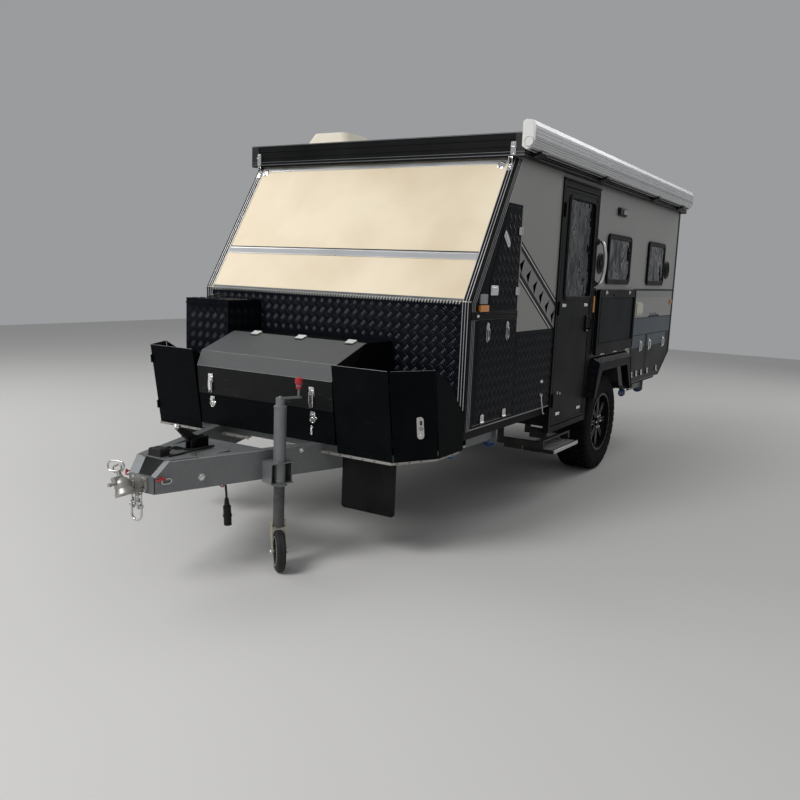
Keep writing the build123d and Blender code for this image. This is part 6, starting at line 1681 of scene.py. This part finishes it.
def buildDrawbar(look):
    top, base = look["topZ"], look["topZ"] + 0.0062
    bolts, edges, red, links = [], [], [], []
    for side in (1, -1):
        for y, z, size in look["bolts"]:
            face = railPlace(side, y)
            head = [(size * 1.45, 0), (size * 1.45, 0.0025), (size, 0.0026), (size, 0.0100), (size * 0.75, 0.0115),
                    (0, 0.0115)]
            bolts += [disc(face, 0, z, 0.0001, head, 6),
                      disc(face, 0, z, 0.0100, [(size * 0.55, 0), (size * 0.55, 0.0065), (0, 0.0068)], 12)]
        # bright tubes along the rails' top edges: painted highlights where the edges glint
        edges.append(tubeOn(railPlace(side, look["frontY"]), [(a, top - 0.0012, -0.0012) for a in (0.070, 0.930)],
                            0.0019, 6))
    addPiece("railBolts", bolts, "brightSteel", bevel=0.0005, slot="galvanised_steel")
    y, half = look["flange"]
    nuts = [turnedShape(button(0.0105, 0.007, 0.008, 0.009), at(x, y - 0.0051, z), -axisY, 6) for x in (half, -half)
            for z in (0.480, 0.534)]
    addPiece("flangeBolts", nuts, "brightSteel", slot="galvanised_steel")
    addPiece("railTopHighlights", edges, "trimSilver", slot="galvanised_steel")
    lid = [(x, base + z) for x, z in ((-0.046, 0), (0.037, 0), (0.037, 0.030), (0.030, 0.038), (-0.039, 0.038),
                                      (-0.046, 0.030))]
    box = [prismShape(lid, "y", -1.322, -1.262),
           prismShape(rect(-0.052, 0.043, base, base + 0.004), "y", -1.325, -1.246)]
    box += [turnedShape([(0.0085, 0), (0.0085, 0.010), (0.0065, 0.013), (0.0065, 0.018)], at(x, -1.262, base + 0.018),
                        axisY, 12)
            for x in (-0.024, 0.016)]
    addPiece("cableBox", box, "plasticBlack", bevel=0.003)
    leads = [tubeShape(smoothPath([at(x, y, base + z) for x, y, z in path]), 0.0052, 8) for path in look["leads"]]
    addPiece("drawbarLeads", leads, "softRubber")
    knob = [(0, -0.0155), (0.008, -0.0135), (0.0135, -0.0075), (0.0155, 0), (0.0135, 0.0078), (0.008, 0.0135),
            (0, 0.0155)]
    addPiece("brakeKnob", [turnedShape(knob, at(0, -1.183, 0.742), Vector((0, -0.5, 0.85)), 20)], "chrome")
    plate = [(y, base + z) for y, z in ((-1.105, 0), (-1.092, 0.030), (-1.060, 0.050), (-1.030, 0.054), (-1.000, 0.040),
                                        (-0.992, 0))]
    ratchet = [prismShape(plate, "x", sign * 0.0225, sign * 0.0265) for sign in (1, -1)]
    ratchet += [turnedShape(button(0.011, 0.006, 0.008, 0.008), at(sign * 0.0225, -1.050, 0.646), axisX * sign, 6)
                for sign in (1, -1)]
    addPiece("brakeRatchet", ratchet, "powderBlack", bevel=0.0012)
    # loop handle and collars on the turning head
    head, roll = at(*look["head"]), math.radians(look["headRoll"])
    tilt, level = Vector((-math.sin(roll), 0, math.cos(roll))), Vector((math.cos(roll), 0, math.sin(roll)))
    along = (tilt * 0.35 - level * 0.90 + Vector((0, -0.25, 0))).normalized()
    flat = (tilt - along * tilt.dot(along)).normalized()
    loop = ovalLink(head + tilt * 0.098 - level * 0.004, along, flat, 0.022, 0.0225, 0.0045)
    addPiece("headLoop", [loop], "brightSteel", "coupling_head", slot="galvanised_steel")
    stem = [(0.0165, 0.030), (0.0180, 0.033), (0.0180, 0.040), (0.0150, 0.043), (0.0150, 0.049), (0.0120, 0.052)]
    collars = [turnedShape(stem, head, tilt, 24),
               ringShape([(0.0225, 0.032), (0.0262, 0.033), (0.0262, 0.040), (0.0225, 0.041)], head, axisY, 28)]
    addPiece("headCollars", collars, "zincCast", "coupling_head")
    # red shackles with rings at the rails, and one over the plug lead
    y, z = look["shackle"]
    for side in (1, -1):
        face = railPlace(side, y)
        along, out = ((face(*way) - face(0, 0, 0)).normalized() for way in ((1, 0, 0), (0, 0, 1)))
        red += bowShackle(face(0, z, 0.012), (-axisZ * 0.35 - along * 0.9).normalized(), out, 0.012, 0.0042)
        links.append(ovalLink(face(0.022, z - 0.018, 0.0075), along, axisZ, 0.012, 0.012, 0.0036))
    lead = at(*look["lead"])
    links += [ovalLink(lead + Vector((0.0, -0.010, -0.018)), axisZ, axisY, 0.010, 0.010, 0.0034),
              ovalLink(lead + Vector((0.004, 0.006, -0.040)), (axisZ + axisY * 0.5).normalized(), axisX, 0.010, 0.010,
                       0.0034)]
    red += bowShackle(lead + Vector((0.002, 0.020, -0.056)), (-axisZ + axisY * 0.35).normalized(), axisX, 0.011, 0.0040)
    red.append(tubeShape([lead + Vector((x, -0.010, 0.002)) for x in (-0.014, 0.016)], 0.0058, 10))
    addPiece("redShackles", red, "knobRed")
    addPiece("railLinks", links, "brightSteel", slot="galvanised_steel")


buildDrawbar(drawbar)

# bright carrier strip below the guards and the toolbox, drilled along its length
carrier = {"z": (0.5600, 0.5725), "deep": 0.030, "thick": 0.004, "pitch": 0.072,
           "line": ((0.120, -0.532), (0.833, -0.532), (0.962, -0.295), (0.962, -0.030))}


def buildCarrier(look):
    (z0, z1), thick, pitch = look["z"], look["thick"], look["pitch"]
    line = [Vector(spot) for spot in look["line"]]
    shapes, holes = [], []
    for start, end in zip(line, line[1:]):
        run = (end - start).normalized()
        out, span = Vector((run.y, -run.x)), (end - start).length

        def face(a, b, h):
            return at(*(start + run * a + out * h), b)

        def shelf(a, b, h):
            return face(a, z1 + h, -b)
        shapes += [plateOn(face, rect(0, span, z0, z1), -thick, 0),
                   plateOn(shelf, rect(0, span, thick, look["deep"]), -thick, 0)]
        for k in range(int(span / pitch)):
            holes.append(disc(face, pitch / 2 + k * pitch, (z0 + z1) / 2, -0.001,
                              [(0.0042, 0), (0.0042, 0.0014), (0, 0.0015)], 10))
    for name, side in sides.items():
        addPiece(f"guardCarrier_{name}", onSide(shapes, side), "zincCast", bevel=0.0006)
        addPiece(f"guardCarrierHoles_{name}", onSide(holes, side), "bandBlack", slot="black_steel")


buildCarrier(carrier)
print("drawbar fittings made")

# tyres: carcass, bead ribs, tread blocks in staggered rows, side lugs; bolts, rings, ridges and valves on the rims
wheel = {"centre": (0.824, 2.500, 0.390), "pitches": 44, "nuts": 6, "lipBolts": 24, "spokes": 8, "valveTurn": 0.30}
treadRows = (((0.004, 0.036), 0.00, 1.20, 0.86),
             ((0.041, 0.077), 0.50, -1.04, 0.84))  # x span, phase, slant, share of the pitch
carcass = ((0.1100, 0.2240), (0.1180, 0.2250), (0.1245, 0.2380), (0.1290, 0.2650), (0.1308, 0.2980), (0.1302, 0.3280),
           (0.1268, 0.3510), (0.1190, 0.3680), (0.1070, 0.3765), (0.0800, 0.3800), (0.0400, 0.3812), (0.0, 0.3815))
shoulderTop = ((0.0820, 0.3893), (0.1050, 0.3885), (0.1175, 0.3835), (0.1255, 0.3720), (0.1300, 0.3540))
shoulderBase = ((0.0820, 0.3780), (0.1050, 0.3740), (0.1140, 0.3680), (0.1215, 0.3570), (0.1250, 0.3500))
sideLugTop = ((0.1304, 0.3440), (0.1309, 0.3300), (0.1309, 0.3160), (0.1306, 0.3080))
sideLugBase = ((0.1270, 0.3440), (0.1270, 0.3300), (0.1270, 0.3160), (0.1270, 0.3080))


def roundHub(centre, side, turn, radius, x):
    return centre + Vector((side * x, -radius * math.sin(turn), radius * math.cos(turn)))


def treadLug(centre, side, top, base, turn0, turn1, slant=0.0):
    # block between two turns; slant shifts it round as x grows
    return joined(*([roundHub(centre, side, turn + slant * (x - top[0][0]), radius, x)
                     for x, radius in (*top, *reversed(base))]
                    for turn in (turn0, turn1)))


def buildTyre(name, side, look):
    x, y, z = look["centre"]
    centre = at(side * x, y, z)
    half = [(radius, x) for x, radius in carcass]
    liner = [(radius - 0.012 if radius > 0.3 else radius + 0.006, x - 0.011 if x > 0.02 else x)
             for radius, x in reversed(half)]
    shell = [(radius, -x) for radius, x in half] + half[-2::-1]
    shapes = [ringShape(shell + liner[:0:-1] + [(radius, -x) for radius, x in liner], centre, axisX, 132)]
    for radius, x in ((0.2480, 0.1268), (0.2560, 0.1282), (0.2990, 0.1306)):
        for sign in (1, -1):
            ring = [(radius + r, (x + h) * sign)
                    for r, h in ((-0.0022, 0), (-0.0012, 0.0012), (0.0012, 0.0012), (0.0022, 0))]
            shapes.append(ringShape(ring, centre, axisX, 96))
    step = 2 * math.pi / look["pitches"]
    for k in range(look["pitches"]):
        many, wide = (4, 0.66) if k % 2 else (5, 0.80)
        for sign, shift in ((1, 0.0), (-1, 0.5)):
            for (x0, x1), phase, slant, fill in treadRows:
                start = (k + phase + shift) * step
                end = start + fill * step
                cut = (start + end) / 2
                top = [(x0, 0.3898), ((x0 + x1) / 2, 0.3899), (x1, 0.3896)]
                base = [(x0 - 0.0015, 0.3790), ((x0 + x1) / 2, 0.3790), (x1 + 0.0015, 0.3770)]
                shapes += [treadLug(centre, sign, top, base, *turns, slant)
                           for turns in ((start, cut - 0.0025), (cut + 0.0025, end))]
            start = (k + shift) * step
            shapes.append(treadLug(centre, sign, shoulderTop[:many], shoulderBase[:many], start, start + wide * step))
            if k % 2 == 0:
                shapes.append(treadLug(centre, sign, sideLugTop, sideLugBase, start + 0.08 * step, start + 0.95 * step))
    tyre = addPiece(f"treadedTyre_{name}", shapes, "tyreRubber", f"wheel_{name}", sharp=28)
    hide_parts(f"tyre_{name}")


def buildRimFittings(name, side, look):
    x, y, z = look["centre"]
    centre, out, body = at(side * x, y, z), Vector((side, 0, 0)), f"wheel_{name}"

    def spot(turn, radius, x):
        return roundHub(centre, side, turn, radius, x)

    def bolts(profile, count, shift, radius, x):
        return [turnedShape(profile, spot(2 * math.pi * (k + shift) / count, radius, x), out, 6) for k in range(count)]
    nut = [(0.0125, 0), (0.0125, 0.004), (0.0105, 0.006), (0.0105, 0.020), (0.0085, 0.024), (0, 0.025)]
    addPiece(f"wheelNuts_{name}", bolts(nut, look["nuts"], 0.5, 0.0500, 0.0901), "brightSteel", body, bevel=0.0006)
    lip = button(0.0052, 0.0030, 0.0038, 0.0042)
    addPiece(f"rimLipBolts_{name}", bolts(lip, look["lipBolts"], 0, 0.2260, 0.1240), "edgeWearAndHighlight", body)
    edge = [(0.2355, 0.1180), (0.2368, 0.1215), (0.2355, 0.1252), (0.2310, 0.1262), (0.2200, 0.1262), (0.2165, 0.1245),
            (0.2165, 0.1180)]
    cap = [(0.0330, 0.1040), (0.0290, 0.1085), (0.0180, 0.1100), (0.0165, 0.1085), (0, 0.1085)]
    addPiece(f"rimRings_{name}", [ringShape(edge, centre, out, 72), turnedShape(cap, centre, out, 40)], "wheelBlack",
             body)
    ridges = []
    for k in range(look["spokes"]):
        turn = 2 * math.pi * k / look["spokes"]
        for offset in (-0.0135, 0.0135):
            run = [spot(turn + offset / radius * more, radius, x) for radius, x, more in
                   ((0.080, 0.0965, 1.15), (0.130, 0.0970, 1.0), (0.190, 0.0962, 1.0))]
            ridges.append(tubeShape(run, [0.0026, 0.0030, 0.0022], 6))
    addPiece(f"spokeRidges_{name}", ridges, "edgeWearAndHighlight", body)
    turn = look["valveTurn"]
    lean = out * 0.9 + (centre - spot(turn, 0.184, 0)).normalized() * 0.3
    valve = [tubeOn(spot, [(turn, 0.1985, 0.060), (turn, 0.190, 0.083), (turn, 0.184, 0.100)], [0.0048, 0.0036, 0.0034],
                    10),
             turnedShape(button(0.0048, 0.010, 0.0036, 0.012), spot(turn, 0.184, 0.098), lean, 12)]
    addPiece(f"tyreValve_{name}", valve, "plasticBlack", body)


for name, side in sides.items():
    buildTyre(name, side, wheel)
    buildRimFittings(name, side, wheel)
print("wheels shod")

# mattress: blown up by the cloth solver, then quilted and piped
mattressPad = {"half": 0.921, "y": (3.128, 4.442), "z": (1.0912, 1.2140), "voxel": 0.024, "pressure": 3.5, "cap": 0.009,
               "frames": 20, "channels": (0.307, 0.2628), "dip": 0.0055, "dipWide": 0.013, "limitX": 0.9325,
               "limitY": 0.012}


def applyModifiers(piece):
    depsgraph = bpy.context.evaluated_depsgraph_get()
    piece.data = bpy.data.meshes.new_from_object(piece.evaluated_get(depsgraph), depsgraph=depsgraph)
    piece.modifiers.clear()


def buildMattress(look):
    half, (y0, y1), (z0, z1), cap = look["half"], look["y"], look["z"], look["cap"]
    pad = addPiece("mattressPad", [prismShape(rounded(-half, half, y0, y1, 0.060, 6), "z", z0, z1)], "mattressCloth",
                   sharp=180)
    remesh = pad.modifiers.new("voxels", "REMESH")
    remesh.mode = "VOXEL"
    remesh.voxel_size = look["voxel"]
    soften = pad.modifiers.new("soften", "SMOOTH")
    soften.iterations = 4
    applyModifiers(pad)
    start = [vertex.co.copy() for vertex in pad.data.vertices]
    cloth = pad.modifiers.new("cloth", "CLOTH")
    cloth.settings.use_pressure = True
    cloth.settings.uniform_pressure_force = look["pressure"]
    cloth.settings.effector_weights.gravity = 0
    cloth.settings.quality = 4
    for tick in range(1, look["frames"] + 1):
        bpy.context.scene.frame_set(tick)
    applyModifiers(pad)
    bpy.context.scene.frame_set(1)
    middle = at(0, (y0 + y1) / 2, (z0 + z1) / 2)
    for vertex, home in zip(pad.data.vertices, start):
        moved = vertex.co - home
        if moved.length > cap:
            vertex.co = home + moved * (cap / moved.length)
    finer = pad.modifiers.new("finer", "SUBSURF")
    finer.levels = finer.render_levels = 1
    applyModifiers(pad)
    (stepX, stepY), foot, head = look["channels"], y0 + frontWall, y1 + frontWall
    for vertex in pad.data.vertices:
        x, y, z = vertex.co
        nearX = abs((x + half) % stepX - stepX / 2) - stepX / 2
        nearY = abs((y - foot) % stepY - stepY / 2) - stepY / 2
        dip = max(math.exp(-(near / look["dipWide"]) ** 2) for near in (nearX, nearY))
        upper = max(0, min(1, (z - middle.z) / 0.03))
        vertex.co = (max(-look["limitX"], min(look["limitX"], x)),
                     max(foot - look["limitY"], min(head + look["limitY"], y)),
                     max(z - look["dip"] * dip * upper, z0 - 0.0005))
    pad.data.polygons.foreach_set("use_smooth", [True] * len(pad.data.polygons))
    pad.data.materials.clear()
    pad.data.materials.append(finishes["mattressCloth"])
    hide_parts("mattress")
    outline = inset((-half, half, y0, y1), -0.0062, 0.066, 6)
    piping = [tubeShape([at(a, b, z) for a, b in outline], 0.0042, 8, closed=True) for z in (z0 + 0.012, z1 - 0.010)]
    addPiece("mattressPiping", piping, "canvasGrey", slot="mattress_cloth")


buildMattress(mattressPad)
print("mattress made")

# canvas skirt of the lifting roof: one band folded in flat pleats
skirt = {"half": 0.9392, "y": (0.6015, 4.4590), "z": (2.2458, 2.2994), "pleats": 8, "deep": 0.030, "spacing": 0.115}


def buildSkirt(look):
    random.seed(11)
    half, (y0, y1), (z0, z1) = look["half"], look["y"], look["z"]
    rows = 2 * look["pleats"]
    corners, loop = rect(-half, half, y0, y1), []
    inward = ((1, 1), (-1, 1), (-1, -1), (1, -1))
    normals = ((0, 1), (-1, 0), (0, -1), (1, 0))
    for start, end, corner, normal in zip(corners, corners[1:] + corners[:1], inward, normals):
        count = int(math.dist(start, end) / look["spacing"])
        for i in range(count):
            loop.append((*(p + (q - p) * (i / count) for p, q in zip(start, end)), normal if i else corner))
    points, faces = [], []
    for row in range(rows + 1):
        z = z0 + (z1 - z0) * row / rows
        for x, y, (nx, ny) in loop:
            reach = (look["deep"] + random.uniform(-0.003, 0.002)) if row % 2 else random.uniform(0.0002, 0.0015)
            lift = random.uniform(-0.0007, 0.0007) if 0 < row < rows else 0
            points.append(at(x + nx * reach, y + ny * reach, z + lift))
    count = len(loop)
    for row in range(rows):
        for k in range(count):
            n = (k + 1) % count
            faces.append((row * count + k, row * count + n, (row + 1) * count + n, (row + 1) * count + k))
    mesh = bpy.data.meshes.new("canvasSkirt")
    mesh.from_pydata([tuple(point) for point in points], [], faces)
    mesh.materials.append(finishes["canvasGrey"])
    band = bpy.data.objects.new("canvasSkirt", mesh)
    bpy.context.scene.collection.objects.link(band)
    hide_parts("canvas_skirt")
    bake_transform(band)


buildSkirt(skirt)
print("skirt folded")
